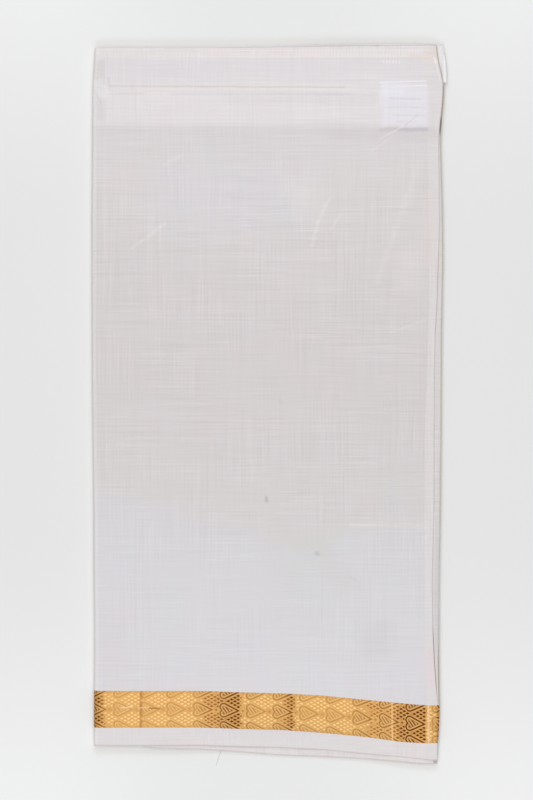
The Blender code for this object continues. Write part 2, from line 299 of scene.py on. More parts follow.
# %% [markdown]
# ## How a sheet is made
# Blender's grid primitive gives a flat sheet of square faces. We keep its faces and move its
# vertices: each column of the grid is a station on the path that the cloth takes, and each row a
# place along it. A path may turn round a fold and come back, so one grid can be a folded leaf.
# The grid also gets a UV map named `cloth`, in metres of flat cloth, because a woven border
# belongs to the cloth and has to follow it round the folds. Then Solidify gives the thickness of one
# layer, and nothing is left live.

# %% A helper for sheets
CLOTH = 0.4  # thickness of one layer, with its nap
SHEET_CREASE, STACK_CREASE = 50, 60  # turns sharper than this many degrees keep a crisp edge


def finish_sheet(obj, wall):
    solidify = obj.modifiers.new("thickness", "SOLIDIFY")
    solidify.thickness = wall * MM
    solidify.offset = -1
    bpy.ops.object.modifier_apply(modifier="thickness")
    bpy.ops.object.shade_smooth_by_angle(angle=math.radians(SHEET_CREASE))
    obj.select_set(False)
    obj.data.calc_loop_triangles()
    print(obj.name, "has", len(obj.data.loop_triangles), "triangles")
    return obj


def map_cloth(mesh, places):
    """Name the UV map `cloth` and give each vertex its place on the flat cloth."""
    corners = np.empty(len(mesh.loops), int)
    mesh.loops.foreach_get("vertex_index", corners)
    mesh.uv_layers[0].name = "cloth"
    mesh.uv_layers[0].data.foreach_set("uv", (places[corners] * MM).ravel())


def sheet_of(name, stations, wall=CLOTH):
    """A sheet from its stations.

    Each station gives the outer face's points, row by row, and their places on the flat cloth.
    """
    points, cloth_places = (np.stack(half) for half in zip(*stations))
    columns, rows = points.shape[:2]
    bpy.ops.mesh.primitive_grid_add(x_subdivisions=columns - 1, y_subdivisions=rows - 1, size=1)
    obj = bpy.context.object
    obj.name = obj.data.name = name
    mesh = obj.data
    flat = np.empty(len(mesh.vertices) * 3)
    mesh.vertices.foreach_get("co", flat)
    flat = flat.reshape(-1, 3) + 0.5
    column = np.rint(flat[:, 0] * (columns - 1)).astype(int)
    row = np.rint(flat[:, 1] * (rows - 1)).astype(int)
    mesh.vertices.foreach_set("co", (points[column, row] * MM).ravel())
    map_cloth(mesh, cloth_places[column, row])
    mesh.update()
    return finish_sheet(obj, wall)


def spaced(start, stop, step):
    """Evenly spaced places from start to stop, both included, about a step apart."""
    return np.linspace(start, stop, max(2, int(round(abs(stop - start) / step)) + 1))


# %% [markdown]
# ## The top leaf
# The leaf that shows is the outer one of the packet. It starts under the stack, comes round the fold
# on the left, crosses the top, and ends on the right in a narrow hem, whose edge it turns over. At
# the far end the whole packet is folded once more, so the leaf rolls over there in a small lip. We
# could cut this into a top, a side and a bottom, but seams would show where real cloth has none, so
# it is one grid of about 48,000 faces, fine enough for the creases.
#
# Its rows are spaced by the weave: a plain selvedge of 14.4 mm, a border of 32.3 mm, then the ground.

# %% Stations and rows of the top leaf
SELVEDGE, BORDER = 14.4, 32.3
GROUND = 560.0
UNDER_RIGHT = 142.0  # where the leaf starts, below the packet
UNDER_RISE, UNDER_FAR_RISE = 13.0, 2.2  # how much further its rows lie there, at each end
FOLD_REACH = 4.0  # the fold is as high as the packet is this far inside it
LIP, LIP_PULL = 1.15, 0.3  # radius of the far end's roll, and how far it draws the hem's edge in
HEM_ROUND = 0.65  # radius of the hem's edge
HEM_LIFT = 0.35  # how much higher than the leaf the hem stands
NEAR_SETTLE, HEM_SETTLE = 0.7, 0.25  # how far the leaf sinks at its near edge, and at its hem
TOP_LEFT, TOP_RIGHT = -150.0, 138.0  # where rows are read off the tables: their nominal x
HEM_LEFT, HEM_RIGHT = 141.0, 145.0
LOWER_RIGHT = 149.0  # the same for the leaves below

leaf_stations = (
    [("under", part) for part in np.linspace(1, 0, 30)[:-1]]
    + [("fold", angle) for angle in np.linspace(math.pi, 0, 11)]
    + [("top", part) for part in np.linspace(0, 1, 127)[1:]]
    + [("hem", part) for part in np.linspace(0, 1, 7)[1:]]
    + [("edge", angle) for angle in np.linspace(0, math.pi / 2, 4)[1:]]
)
row_strip = (
    [("selvedge", part, 0.0) for part in np.linspace(0, 1, 7)]
    + [("border", part, 0.0) for part in np.linspace(0, 1, 15)[1:]]
    + [("ground", part, 0.0) for part in np.linspace(0, 1, 252)[1:]]
    + [("ground", 1.0, angle) for angle in np.linspace(0, math.pi, 6)[1:]]
)
STRIPS = ("selvedge", "border", "ground")
strip = np.array([STRIPS.index(kind) for kind, _, _ in row_strip])
in_ground = strip == STRIPS.index("ground")
part_of_strip = np.array([part for _, part, _ in row_strip])
lip_angle = np.array([angle for _, _, angle in row_strip])
under_rise = UNDER_RISE + (UNDER_FAR_RISE - UNDER_RISE) * np.where(in_ground, part_of_strip, 0.0)
cloth_along = np.choose(
    strip,
    (SELVEDGE * part_of_strip, SELVEDGE + BORDER * part_of_strip, SELVEDGE + BORDER + GROUND * part_of_strip),
)
cloth_along = cloth_along + LIP * lip_angle


def rows_at(nominal):
    """y of every row of the top leaf, where it crosses a nominal x."""
    edges = [end(name, nominal) for name in ("near", "band_near", "band_far")] + [end("far", nominal) - LIP]
    low = np.choose(strip, edges[:3])
    high = np.choose(strip, edges[1:])
    return low + (high - low) * part_of_strip


def settled(x, y):
    """How far the leaf sinks onto the one below along its near edge and its right edge."""
    in_hem = eased(x - side("hem_line", y), -3, 1)
    near = (1 - eased(y - end("near", x), 0, 7)) * eased(x - side("fold", y), 2, 14)
    right = eased(x - side("leaf", y), -7, -1)
    return np.maximum(NEAR_SETTLE * near * (1 - in_hem), HEM_SETTLE * np.maximum(near * in_hem, right))


def top_height(x, y):
    """The top leaf's height with its creases, and with waves that die away where it is sewn or folded."""
    lively = eased(side("hem_line", y) - x, -4, 6) * eased(x - side("fold", y), 0, 8)
    lively = lively * eased(end("far", x) - y, 0, 6)
    return leaf_top(x, y) + crease_rise(CREASES, x, y) + wave_rise(x, y) * lively - settled(x, y)


print(len(leaf_stations), "stations by", len(row_strip), "rows")

# %% [markdown]
# The hem is 7 to 14 mm wide, turned twice and sewn, so it stands a third of a millimetre above the
# leaf, and its row of stitches pulls the cloth down in a shallow groove with small puckers.

# %% Where the hem's stitches pull the leaf down
STITCH_INSET = 0.9  # from the hem's inner edge to the stitches
STITCH_GROOVE, STITCH_GROOVE_REACH = 0.22, 1.0
PUCKER, PUCKER_REACH, PUCKER_LENGTH = 0.10, 6.0, 11.0


def hem_height(x, y):
    """How much the hem and its stitches lift the leaf. The puckers are uneven, and come and go."""
    off = x - side("hem_line", y)
    lift = HEM_LIFT * eased(off, -1.2, 1.6)
    groove = -STITCH_GROOVE * np.exp(-(((off - STITCH_INSET) / STITCH_GROOVE_REACH) ** 2))
    beat = np.sin(2 * math.pi * y / PUCKER_LENGTH + 1.7 * np.sin(y / 23.0)) * np.sin(y / 31.0 + 0.6)
    pucker = PUCKER * beat * np.exp(-(((off - STITCH_INSET) / PUCKER_REACH) ** 2))
    return lift + groove + pucker


groove_x = float(side("hem_line", 0.0)) + STITCH_INSET
print("the stitches' groove is at x =", round(groove_x, 1), "mm in the middle")

# %% The top leaf's grid
def leaf_column(kind, part):
    """One station of the top leaf: its points and its places on the flat cloth, row by row."""
    nominal = {
        "top": TOP_LEFT + (TOP_RIGHT - TOP_LEFT) * part,
        "hem": HEM_LEFT + (HEM_RIGHT - HEM_LEFT) * part,
        "edge": HEM_RIGHT,
    }
    y = rows_at(nominal.get(kind, TOP_LEFT))
    fold_x = side("fold", y)
    radius = leaf_top(fold_x + FOLD_REACH, y) / 2
    start, hem_x, right = fold_x + radius, side("hem_line", y), side("leaf", y)
    lowered = LIP * (1 - np.cos(lip_angle))
    if kind == "under":
        x = start + (UNDER_RIGHT - start) * part
        y = y + under_rise * part
        z = np.maximum(0.0, crease_rise(UNDERSIDE_CREASES, x, y)) + lowered
        across = start - math.pi * radius - (x - start)
    elif kind == "fold":
        inner = radius - lowered
        x = start - inner * math.sin(part)
        z = radius + inner * math.cos(part)
        across = start - part * radius
    elif kind == "top":
        x = start + (hem_x - start) * part
        z = top_height(x, y) + hem_height(x, y) - lowered
        across = x
    else:
        flat_right = right - HEM_ROUND
        x = hem_x + (flat_right - hem_x) * (part if kind == "hem" else 1.0)
        z = top_height(x, y) + hem_height(x, y)
        turn = 0.0 if kind == "hem" else part
        across = x + HEM_ROUND * turn
        x = x + (HEM_ROUND - np.minimum(lowered, LIP_PULL)) * math.sin(turn)
        z = z - HEM_ROUND * (1 - math.cos(turn)) - lowered
    y = y + LIP * np.sin(lip_angle)
    return np.stack([x, y, z], axis=1), np.stack([across, cloth_along], axis=1)


top_leaf = sheet_of("cloth_top_leaf", [leaf_column(kind, part) for kind, part in leaf_stations])

# %% [markdown]
# The other half of the hem is the layer that is turned under. It takes over at the edge, where the
# top leaf ends, goes back under the leaf and tucks its raw end in. It is a piece of its own, so
# that a reader can hide the leaf and see how a turned hem is built.

# %% The turned-under hem
HEM_TUCK = 0.42  # radius of the turn of its raw end
HEM_MIDDLE = 143.0
HEM_SHORT = 0.4  # how far its ends stay inside the leaf's, and at the far end inside its roll
RAW_END = 1.5  # from the raw end to the turn at the right
HEM_WALL = 0.32
hem_stations = (
    [("turn", angle) for angle in np.linspace(1.3, math.pi, 6)]
    + [("back", part) for part in (0.25, 0.5, 0.75, 1.0)]
    + [("tuck", angle) for angle in np.linspace(0, math.pi, 6)[1:]]
    + [("inside", part) for part in (0.5, 1.0)]
)
HEM_BELOW = 2 * HEM_ROUND
strip_ends = (0, SELVEDGE, SELVEDGE + BORDER, SELVEDGE + BORDER + GROUND)
hem_rows = np.concatenate([
    spaced(strip_ends[0], strip_ends[1], 3.0)[:-1],
    spaced(strip_ends[1], strip_ends[2], 3.5)[:-1],
    spaced(strip_ends[2], strip_ends[3], 3.2),
])


def hem_column(kind, part):
    """One station of the turned-under hem, as leaf_column gives one of the leaf."""
    names = ("near", "band_near", "band_far", "far")
    near, band_near, band_far, far = (end(name, HEM_MIDDLE) for name in names)
    y = np.interp(hem_rows, strip_ends, (near + HEM_SHORT, band_near, band_far, far - 2 * LIP - HEM_SHORT))
    right = side("leaf", y) - HEM_ROUND
    left = side("hem_line", y) + STITCH_INSET
    face = top_height(right, y) + hem_height(right, y)
    under = face - HEM_BELOW
    if kind == "turn":
        x, z = right + HEM_ROUND * math.sin(part), face - HEM_ROUND * (1 - math.cos(part))
        across = right + HEM_ROUND * part
    elif kind == "back":
        x = right + (left - right) * part
        z = under + 0 * x
        across = right + HEM_ROUND * math.pi + (right - x)
    elif kind == "tuck":
        x = left - HEM_TUCK * math.sin(part)
        z = under + HEM_TUCK * (1 - math.cos(part))
        across = right + HEM_ROUND * math.pi + (right - left) + HEM_TUCK * part
    else:
        x = left + (right - left - RAW_END) * part
        z = under + 2 * HEM_TUCK + 0 * x
        across = right + HEM_ROUND * math.pi + (right - left) + HEM_TUCK * math.pi + (x - left)
    return np.stack([x, y, z], axis=1), np.stack([across, hem_rows], axis=1)


hem = sheet_of("cloth_hem", [hem_column(kind, part) for kind, part in hem_stations], wall=HEM_WALL)

# %% [markdown]
# ## The stitches of the hem
# A lockstitch shows on top as a row of short threads, each a little sunk at its ends where it dips
# into the cloth. One stitch is modelled from a UV sphere with few faces, stretched along y and with
# its ends pressed down. We could scatter copies with Geometry Nodes, but plain copies joined into one
# mesh are simpler, and each can be nudged so that the row looks sewn and not printed.

# %% One stitch, then the row
STITCH_PITCH, STITCH_LENGTH, STITCH_WIDTH, STITCH_HEIGHT = 2.9, 2.1, 0.42, 0.3
STITCH_DIP = 0.16  # how much lower its ends are than its middle
STITCH_LIFT, STITCH_SLANT = 0.05, 0.05
STITCHES_FROM, STITCHES_TO = -306.5, 306.0

bpy.ops.mesh.primitive_uv_sphere_add(segments=6, ring_count=5, radius=0.5 * MM)
stitch = bpy.context.object
bpy.ops.object.mode_set(mode="EDIT")
bpy.ops.mesh.select_all(action="SELECT")
bpy.ops.transform.rotate(value=math.pi / 2, orient_axis="X", center_override=(0, 0, 0))
bpy.ops.transform.resize(value=(STITCH_WIDTH, STITCH_LENGTH, STITCH_HEIGHT), center_override=(0, 0, 0))
bpy.ops.object.mode_set(mode="OBJECT")
one_stitch = np.array([vertex.co for vertex in stitch.data.vertices]) / MM
one_stitch[:, 2] -= STITCH_DIP * (2 * one_stitch[:, 1] / STITCH_LENGTH) ** 2

stitch_ys = np.arange(STITCHES_FROM, STITCHES_TO, STITCH_PITCH)
stitch_xs = side("hem_line", stitch_ys) + STITCH_INSET
stitch_xs = stitch_xs + 0.22 * np.sin(stitch_ys / 7.3) + 0.1 * np.sin(stitch_ys * 1.9)  # never quite in line
stitch_zs = top_height(stitch_xs, stitch_ys) + hem_height(stitch_xs, stitch_ys)
row = []
for number, (x, y, z) in enumerate(zip(stitch_xs, stitch_ys, stitch_zs)):
    copy = stitch.copy()
    copy.data = stitch.data.copy()
    bpy.context.collection.objects.link(copy)
    slant = STITCH_SLANT * math.sin(number * 2.3)
    places = one_stitch.copy()
    places[:, 0] += slant * places[:, 1]
    places += (x, y, z + STITCH_LIFT)
    copy.data.vertices.foreach_set("co", (places * MM).ravel())
    row.append(copy)
bpy.ops.object.select_all(action="DESELECT")
for copy in row:
    copy.select_set(True)
bpy.context.view_layer.objects.active = row[0]
bpy.ops.object.join()
hem_stitches = bpy.context.object
hem_stitches.name = hem_stitches.data.name = "hem_stitches"
bpy.ops.object.shade_smooth()
bpy.data.objects.remove(stitch)
bpy.ops.object.select_all(action="DESELECT")
print(len(row), "stitches,", len(hem_stitches.data.polygons), "faces")

# %% [markdown]
# ## The second leaf, the flap and the slip
# Under the top leaf lies the next panel. Only a rim of it shows: a grey strip beside the hem and two
# thin lines at the near end. It is a leaf folded back on itself, so its right edge is a small round
# fold. The flap along the far end is folded in the same way and sticks out at the corner.
# Both come from one helper: a leaf whose right edge turns under.

# %% A leaf whose right edge turns under
def folded_leaf(name, edges, top, across, cloth_rows, held, turn, under):
    """A sheet folded back at its right edge.

    edges are functions for its left, right, near and far edges. top gives its height. The rows of the
    first `held` mm keep their spacing, turn is the fold's radius, and under is how far it goes back.
    """
    left, right, near, far = edges
    kinds = [("top", part) for part in across] + [("turn", angle) for angle in np.linspace(0, math.pi, 6)[1:]]
    kinds += [("under", part) for part in (0.35, 1.0)]
    stations = []
    for kind, part in kinds:
        share = part if kind == "top" else 1.0
        x = TOP_LEFT + (LOWER_RIGHT - TOP_LEFT) * share
        for _ in range(3):  # x and y depend on each other, and three rounds bring them together
            span = far(x) - near(x) - held
            y = near(x) + np.minimum(cloth_rows, held)
            y = y + span * np.maximum(cloth_rows - held, 0) / (cloth_rows[-1] - held)
            edge = right(y) - turn
            x = left(y) + (edge - left(y)) * share
        z = top(x, y)
        along = x
        if kind == "turn":
            x, z, along = edge + turn * math.sin(part), z - turn * (1 - math.cos(part)), edge + turn * part
        elif kind == "under":
            x, z, along = edge - under * part, z - 2 * turn, edge + turn * math.pi + under * part
        stations.append((np.stack([x, y, z], axis=1), np.stack([along, cloth_rows], axis=1)))
    return sheet_of(name, stations, wall=LOWER_CLOTH)


LOWER_CLOTH = 0.36  # their thickness
SECOND_FOLD = 4.2  # how far inside the fold the second leaf starts
LIP_CLEAR = 1.6  # how far inside the packet's far edge it stops
SECOND_LENGTH, SECOND_RIM = 612, 48.0  # the rim's rows are closer
FLAP_LENGTH = 34
# their columns lie closer together at the right, where the rims show
rim_across = np.concatenate([np.linspace(0, 0.9, 46), np.linspace(0.9, 1, 12)[1:]])
second_leaf = folded_leaf(
    "cloth_second_leaf",
    (
        lambda y: side("fold", y) + SECOND_FOLD,
        lambda y: side("second", y),
        lambda x: end("second_near", x),
        lambda x: end("far", x) - LIP_CLEAR,
    ),
    second_top,
    rim_across,
    np.concatenate([spaced(0, SECOND_RIM, 1.6)[:-1], spaced(SECOND_RIM, SECOND_LENGTH, 4.0)]),
    held=SECOND_RIM,
    turn=0.45,
    under=16.0,
)
inner_flap = folded_leaf(
    "cloth_inner_flap",
    (lambda y: FLAP_LEFT + 0 * y, flap_right, flap_near, lambda x: end("flap_far", x)),
    flap_top,
    rim_across,
    spaced(0, FLAP_LENGTH, 1.6),
    held=0.0,
    turn=0.4,
    under=10.0,
)

# %% [markdown]
# The slip is a rectangle of stiff paper that was slid under the top leaf. The piece itself is blank:
# the few ruled lines that can be made out through the leaf belong to the leaf's material. It is too
# small to fold, so it takes a flat grid that follows the leaf under it.

# %% The paper slip
SLIP_WALL, SLIP_SINK_IN, SLIP_FACE = 0.2, 0.1, 2.0  # thickness, how far it presses in, size of its faces
slip_x = spaced(SLIP_BOX["left"], SLIP_BOX["right"], SLIP_FACE)
slip_y = spaced(SLIP_BOX["near"], SLIP_BOX["far"], SLIP_FACE)
grid_x, grid_y = np.meshgrid(slip_x, slip_y, indexing="ij")
slip_points = np.stack([grid_x, grid_y, slip_top(grid_x, grid_y) - SLIP_SINK_IN], axis=2)
slip = sheet_of("paper_slip", zip(slip_points, slip_points[:, :, :2]), wall=SLIP_WALL)

# %% [markdown]
# ## The leaves inside
# Twenty or so leaves lie inside, and only their edges can be seen, from the right, from the near end
# and in the roll of the far end. Separate sheets would cost a million faces that nobody sees. So the
# stack is one closed mesh, with ten edges that stand for all of them: a grid for its top, whose rim is
# extruded downwards again and again, two rings for each edge, one out at the leaf's edge and one
# back in the groove below it. Each leaf has its own inset on each side, and each inset wanders along
# the packet, because nobody folds twenty leaves exactly on top of each other. The uneven edges are
# worked out after the extrusions, from a place that each vertex keeps in an attribute.

# %% The stack's rings
STACK_FOOT = 0.62  # height of its underside, above the leaf that wraps it
STACK_CLEAR = 0.9  # room between its edges and the leaf over it
LAYERS = table(
    "right far near fold wander",
    (1.6, 0.9, -2.6, 2.0, 0.3),
    (0.4, 1.5, -0.9, 1.8, 1.7),
    (2.2, 0.7, -2.2, 1.8, 2.9),
    (0.9, 1.7, 0.4, 1.8, 4.1),
    (3.0, 1.0, -1.6, 2.0, 5.3),
    (1.5, 1.3, 1.2, 1.8, 0.9),
    (0.3, 0.8, -2.4, 1.9, 2.2),
    (2.5, 1.6, -0.5, 1.8, 3.6),
    (0.8, 1.1, 0.9, 1.8, 4.8),
    (1.9, 0.9, -1.8, 2.0, 6.0),
)
GROOVE = 0.55  # depth of the groove between two leaves
leaves_inside = len(LAYERS["right"])


def stack_place(across, along, leaf, sunk):
    """x and y of a place on the stack, inside the edges of one leaf."""
    right, far, near, fold, wander = (LAYERS[name][leaf] for name in LAYERS)
    # each edge wanders in a long wave and a short one
    drift = 0.8 * np.sin(5.1 * along + 2.3 * wander) + 0.4 * np.sin(17.0 * along + 5.1 * wander)
    sway = 0.7 * np.sin(6.3 * across + 3.1 * wander) + 0.4 * np.sin(15.0 * across + 1.7 * wander)
    x = TOP_LEFT + (LOWER_RIGHT - TOP_LEFT) * across
    for _ in range(3):
        low = end("stack_near", x) + near + sunk + STACK_CLEAR + sway
        y = low + (end("far", x) - far - sunk - low) * along
        left = side("fold", y) + fold + sunk
        x = left + (side("second", y) - right - sunk - STACK_CLEAR - drift - left) * across
    return x, y


# %% The stack's mesh
stack_columns, stack_rows = 60, 110
bpy.ops.mesh.primitive_grid_add(x_subdivisions=stack_columns, y_subdivisions=stack_rows, size=1)
stack = bpy.context.object
stack.name = stack.data.name = "folded_leaves"
where = stack.data.attributes.new("where", "FLOAT_VECTOR", "POINT")
for vertex, place in zip(stack.data.vertices, where.data):
    place.vector = vertex.co
bpy.ops.object.mode_set(mode="EDIT")
bpy.ops.mesh.select_all(action="SELECT")
bpy.ops.mesh.region_to_loop()
for _ in range(2 * leaves_inside):
    bpy.ops.mesh.extrude_edges_move(TRANSFORM_OT_translate={"value": (0, 0, -0.01)})  # they are placed below
bpy.ops.mesh.edge_face_add()
bpy.ops.object.mode_set(mode="OBJECT")

kept = np.empty(len(stack.data.vertices) * 3)
stack.data.attributes["where"].data.foreach_get("vector", kept)
across, along = kept.reshape(-1, 3)[:, 0] + 0.5, kept.reshape(-1, 3)[:, 1] + 0.5
top_count = (stack_columns + 1) * (stack_rows + 1)
rim_count = 2 * (stack_columns + stack_rows)
ring = np.maximum(0, (np.arange(len(across)) - top_count) // rim_count + 1)
leaf = np.clip((ring - 1) // 2, 0, leaves_inside - 1)
sunk = np.where(ring % 2 == 0, GROOVE, 0.0)
x, y = stack_place(across, along, leaf, sunk)
crown = stack_top(*stack_place(across, along, 0, GROOVE))
depth = np.where(ring == 0, 0.0, (ring - 0.5) / (2 * leaves_inside - 0.5))
depth = np.where(ring == 2 * leaves_inside, 1.0, depth)
z = crown + (STACK_FOOT - crown) * depth
stack.data.vertices.foreach_set("co", (np.stack([x, y, z], axis=1) * MM).ravel())
stack.data.attributes.remove(stack.data.attributes["where"])
map_cloth(stack.data, np.stack([x, y - end("second_near", x)], axis=1))
bpy.ops.object.mode_set(mode="EDIT")
bpy.ops.mesh.select_all(action="SELECT")
bpy.ops.mesh.normals_make_consistent(inside=False)
bpy.ops.object.mode_set(mode="OBJECT")
bpy.ops.object.shade_smooth_by_angle(angle=math.radians(STACK_CREASE))
stack.select_set(False)
print("folded_leaves has", len(stack.data.polygons), "faces in", int(ring.max()), "rings")

# %% [markdown]
# ## A loose thread
# One end of sewing thread hangs out at the near end and lies on the table. It is a curve of a few
# points with a round bevel, turned into a mesh so that it can sit at the origin as the rest does.

# %% The loose thread
LOOSE_RADIUS = 0.2
THREAD_PLACES = (
    (-40.6, -296.5, 1.5),
    (-41.2, -300.5, 1.0),
    (-42.6, -305.0, 0.45),
    (-44.4, -310.0, 0.25),
    (-46.4, -315.6, 0.25),
)
curve = bpy.data.curves.new("loose_thread", "CURVE")
curve.dimensions = "3D"
curve.bevel_depth = LOOSE_RADIUS * MM
curve.bevel_resolution = 1
curve.use_fill_caps = True
spline = curve.splines.new("NURBS")
spline.points.add(len(THREAD_PLACES) - 1)
for point, place in zip(spline.points, THREAD_PLACES):
    point.co = (*(value * MM for value in place), 1)
spline.use_endpoint_u = True
spline.order_u = 4
loose_thread = bpy.data.objects.new("loose_thread", curve)
bpy.context.collection.objects.link(loose_thread)
bpy.context.view_layer.objects.active = loose_thread
loose_thread.select_set(True)
bpy.ops.object.convert(target="MESH")
loose_thread = bpy.context.object
loose_thread.data.name = "loose_thread"
loose_thread.select_set(False)
print("loose_thread has", len(loose_thread.data.polygons), "faces")

# %% [markdown]
# ## A small language for materials
# A material's nodes can be wired by hand in the Shader Editor, but a woven pattern needs hundreds of
# Math nodes. It reads better as arithmetic, so a `Signal` is a number that the material works out at
# each point, and adding or multiplying two signals adds the Math node that does it. `Bench` holds one
# material's tree and makes the few other nodes that we need.

# %% Signals
REPEATS_AHEAD = 40


class Signal:
    """A number that a material works out at each point."""

    def __init__(self, bench, socket):
        self.bench, self.socket = bench, socket

    def math(self, operation, *others):
        return self.bench.math(operation, self, *others)

    def __add__(self, other):
        return self.math("ADD", other)

    def __sub__(self, other):
        return self.math("SUBTRACT", other)

    def __mul__(self, other):
        return self.math("MULTIPLY", other)

    def __truediv__(self, other):
        return self.math("DIVIDE", other)

    def __rsub__(self, other):
        return self.bench.math("SUBTRACT", other, self)

    def size(self):
        return self.math("ABSOLUTE")

    def smooth(self, low, high, at_low=0.0, at_high=1.0):
        """From at_low where the signal is low to at_high where it is high, eased at both ends."""
        node = self.bench.add("ShaderNodeMapRange", interpolation_type="SMOOTHSTEP", clamp=False)
        for slot, value in zip(node.inputs, (self, low, high, at_low, at_high)):
            self.bench.wire(slot, value)
        return Signal(self.bench, node.outputs[0])

    def near(self, place, reach):
        """1 at a place, falling to 0 at a reach on each side."""
        return (self - place).size().smooth(0.0, reach, 1.0, 0.0)

    def between(self, low, high, soft):
        """1 between two places, fading out softly at each of them."""
        return self.smooth(low - soft, low + soft) * self.smooth(high - soft, high + soft, 1.0, 0.0)

    def repeated(self, length):
        """The place within one repeat, from 0 to its length.

        A remainder is right for positive numbers alone, so some whole repeats are added first.
        """
        return (self + REPEATS_AHEAD * length).math("MODULO", length)

    def held(self):
        """The signal kept between 0 and 1."""
        return self.math("MAXIMUM", 0.0).math("MINIMUM", 1.0)


# %% A bench for one material
def to_linear(levels):
    """A colour given as 0 to 255 levels on a screen, as the linear numbers that a shader takes."""
    share = np.array(levels) / 255
    return np.where(share <= 0.04045, share / 12.92, ((share + 0.055) / 1.055) ** 2.4)


LIGHT_LEVEL = 0.93  # how much of the light that falls on a level white face the lamps below give
GLOSS = 0.05  # how much every surface shines


def dyed(*levels):
    """The base colour that shows as these screen levels under the studio light."""
    return (*(to_linear(levels) / LIGHT_LEVEL), 1.0)


class Bench:
    """One material's nodes. place is the point on the piece, and cloth its place on the flat cloth."""

    def __init__(self, name):
        self.material = bpy.data.materials.new(name)
        self.material.use_nodes = True
        self.tree = self.material.node_tree
        self.shader = self.tree.nodes["Principled BSDF"]
        self.place = self.add("ShaderNodeTexCoord").outputs["Object"]
        self.cloth = self.add("ShaderNodeUVMap", uv_map="cloth").outputs[0]

    def add(self, kind, **settings):
        node = self.tree.nodes.new(kind)
        for name, value in settings.items():
            setattr(node, name, value)
        return node

    def wire(self, slot, value):
        if isinstance(value, Signal):
            self.tree.links.new(value.socket, slot)
        elif isinstance(value, bpy.types.NodeSocket):
            self.tree.links.new(value, slot)
        else:
            slot.default_value = value

    def math(self, operation, *values):
        node = self.add("ShaderNodeMath", operation=operation)
        for slot, value in zip(node.inputs, values):
            self.wire(slot, value)
        return Signal(self, node.outputs[0])

    def axes(self, vector):
        """A vector's three numbers, in millimetres."""
        node = self.add("ShaderNodeSeparateXYZ")
        self.wire(node.inputs[0], vector)
        return [Signal(self, output) * (1 / MM) for output in node.outputs]

    def tint(self, red, green, blue):
        node = self.add("ShaderNodeCombineColor")
        for slot, value in zip(node.inputs, (red, green, blue)):
            self.wire(slot, value)
        return node.outputs[0]

    def noise(self, scale, seed, detail=2.0, roughness=0.5, source=None):
        """Noise from about -0.5 to 0.5. scale is how many lumps fit in a millimetre along each axis."""
        mapping = self.add("ShaderNodeMapping")
        self.wire(mapping.inputs["Vector"], source or self.place)
        mapping.inputs["Location"].default_value = (0.0, 0.0, seed)
        mapping.inputs["Scale"].default_value = [value / MM for value in (*scale, 0.0)[:3]]
        node = self.add("ShaderNodeTexNoise")
        self.wire(node.inputs["Vector"], mapping.outputs[0])
        for name, value in (("Scale", 1.0), ("Detail", detail), ("Roughness", roughness)):
            node.inputs[name].default_value = value
        return Signal(self, node.outputs["Fac"]) - 0.5

    def mix(self, factor, first, second, blend="MIX"):
        node = self.add("ShaderNodeMix", data_type="RGBA", blend_type=blend)
        for number, value in ((0, factor), (6, first), (7, second)):
            self.wire(node.inputs[number], value)
        return node.outputs[2]

    def ramp(self, signal, low, high, stops):
        """A colour or number read off a strip of stops, each a place from low to high and its value."""
        node = self.add("ShaderNodeValToRGB")
        self.wire(node.inputs[0], (signal - low) * (1 / (high - low)))
        elements = node.color_ramp.elements
        for number, (place, value) in enumerate(stops):
            at = (place - low) / (high - low)
            element = elements[number] if number < 2 else elements.new(at)
            element.position = at
            element.color = value if hasattr(value, "__len__") else (value, value, value, 1.0)
        return node.outputs[0]

    def number(self, socket):
        """A grey colour as a number."""
        node = self.add("ShaderNodeRGBToBW")
        self.wire(node.inputs[0], socket)
        return Signal(self, node.outputs[0])

    def line(self, x, y, start, stop, reach):
        """1 on the line between two places, falling to 0 at a reach from it."""
        run = np.subtract(stop, start)
        from_x, from_y = x - start[0], y - start[1]
        along = ((from_x * run[0] + from_y * run[1]) / float(run @ run)).held()
        off_x, off_y = from_x - along * run[0], from_y - along * run[1]
        return (off_x * off_x + off_y * off_y).math("SQRT").smooth(0.0, reach, 1.0, 0.0)

    def finish(self, colour, roughness, height=None, depth=0.2, metallic=None, sheen=0.0):
        shader = self.shader.inputs
        self.wire(shader["Base Color"], colour)
        self.wire(shader["Roughness"], roughness)
        if metallic is not None:
            self.wire(shader["Metallic"], metallic)
        if height is not None:
            bump = self.add("ShaderNodeBump")
            bump.inputs["Distance"].default_value = depth * MM
            self.wire(bump.inputs["Height"], height)
            self.wire(shader["Normal"], bump.outputs[0])
        shader["Sheen Weight"].default_value = sheen
        shader["Sheen Roughness"].default_value = 0.5
        shader["Specular IOR Level"].default_value = GLOSS
        print(self.material.name, "has", len(self.tree.nodes), "nodes")
        return self.material


# %% [markdown]
# ## The weave
# The ground is a sheer plain weave of hand-spun-looking cotton. Close up it is a grid of threads half
# a millimetre apart. From further off one sees its slubs: single threads that are thicker for
# a stretch, so that fine level and upright lines cross the cloth, each a few centimetres long. In
# each direction a long noise and a short one do that, both stretched along the threads, and a
# slower noise gathers them into patches, with a faint wavy grid. A wave texture could draw the
# threads too, but plain sines keep the two directions in step.

# %% Threads and slubs
THREAD_PITCH = 0.55
WEFT_GRID, WARP_GRID = 3.1, 3.3  # spacing of the faint grid's lines


def threads(x, y):
    """Height of a plain weave: weft and warp cross over and under in turn."""
    turn = math.pi / THREAD_PITCH
    warp = (x * turn).math("SINE")
    weft = (y * turn).math("SINE")
    cross = ((x + y) * (turn / 2)).math("SINE") * ((x - y) * (turn / 2)).math("SINE")
    return warp * warp * 0.5 + weft * weft * 0.5 + cross * 0.4


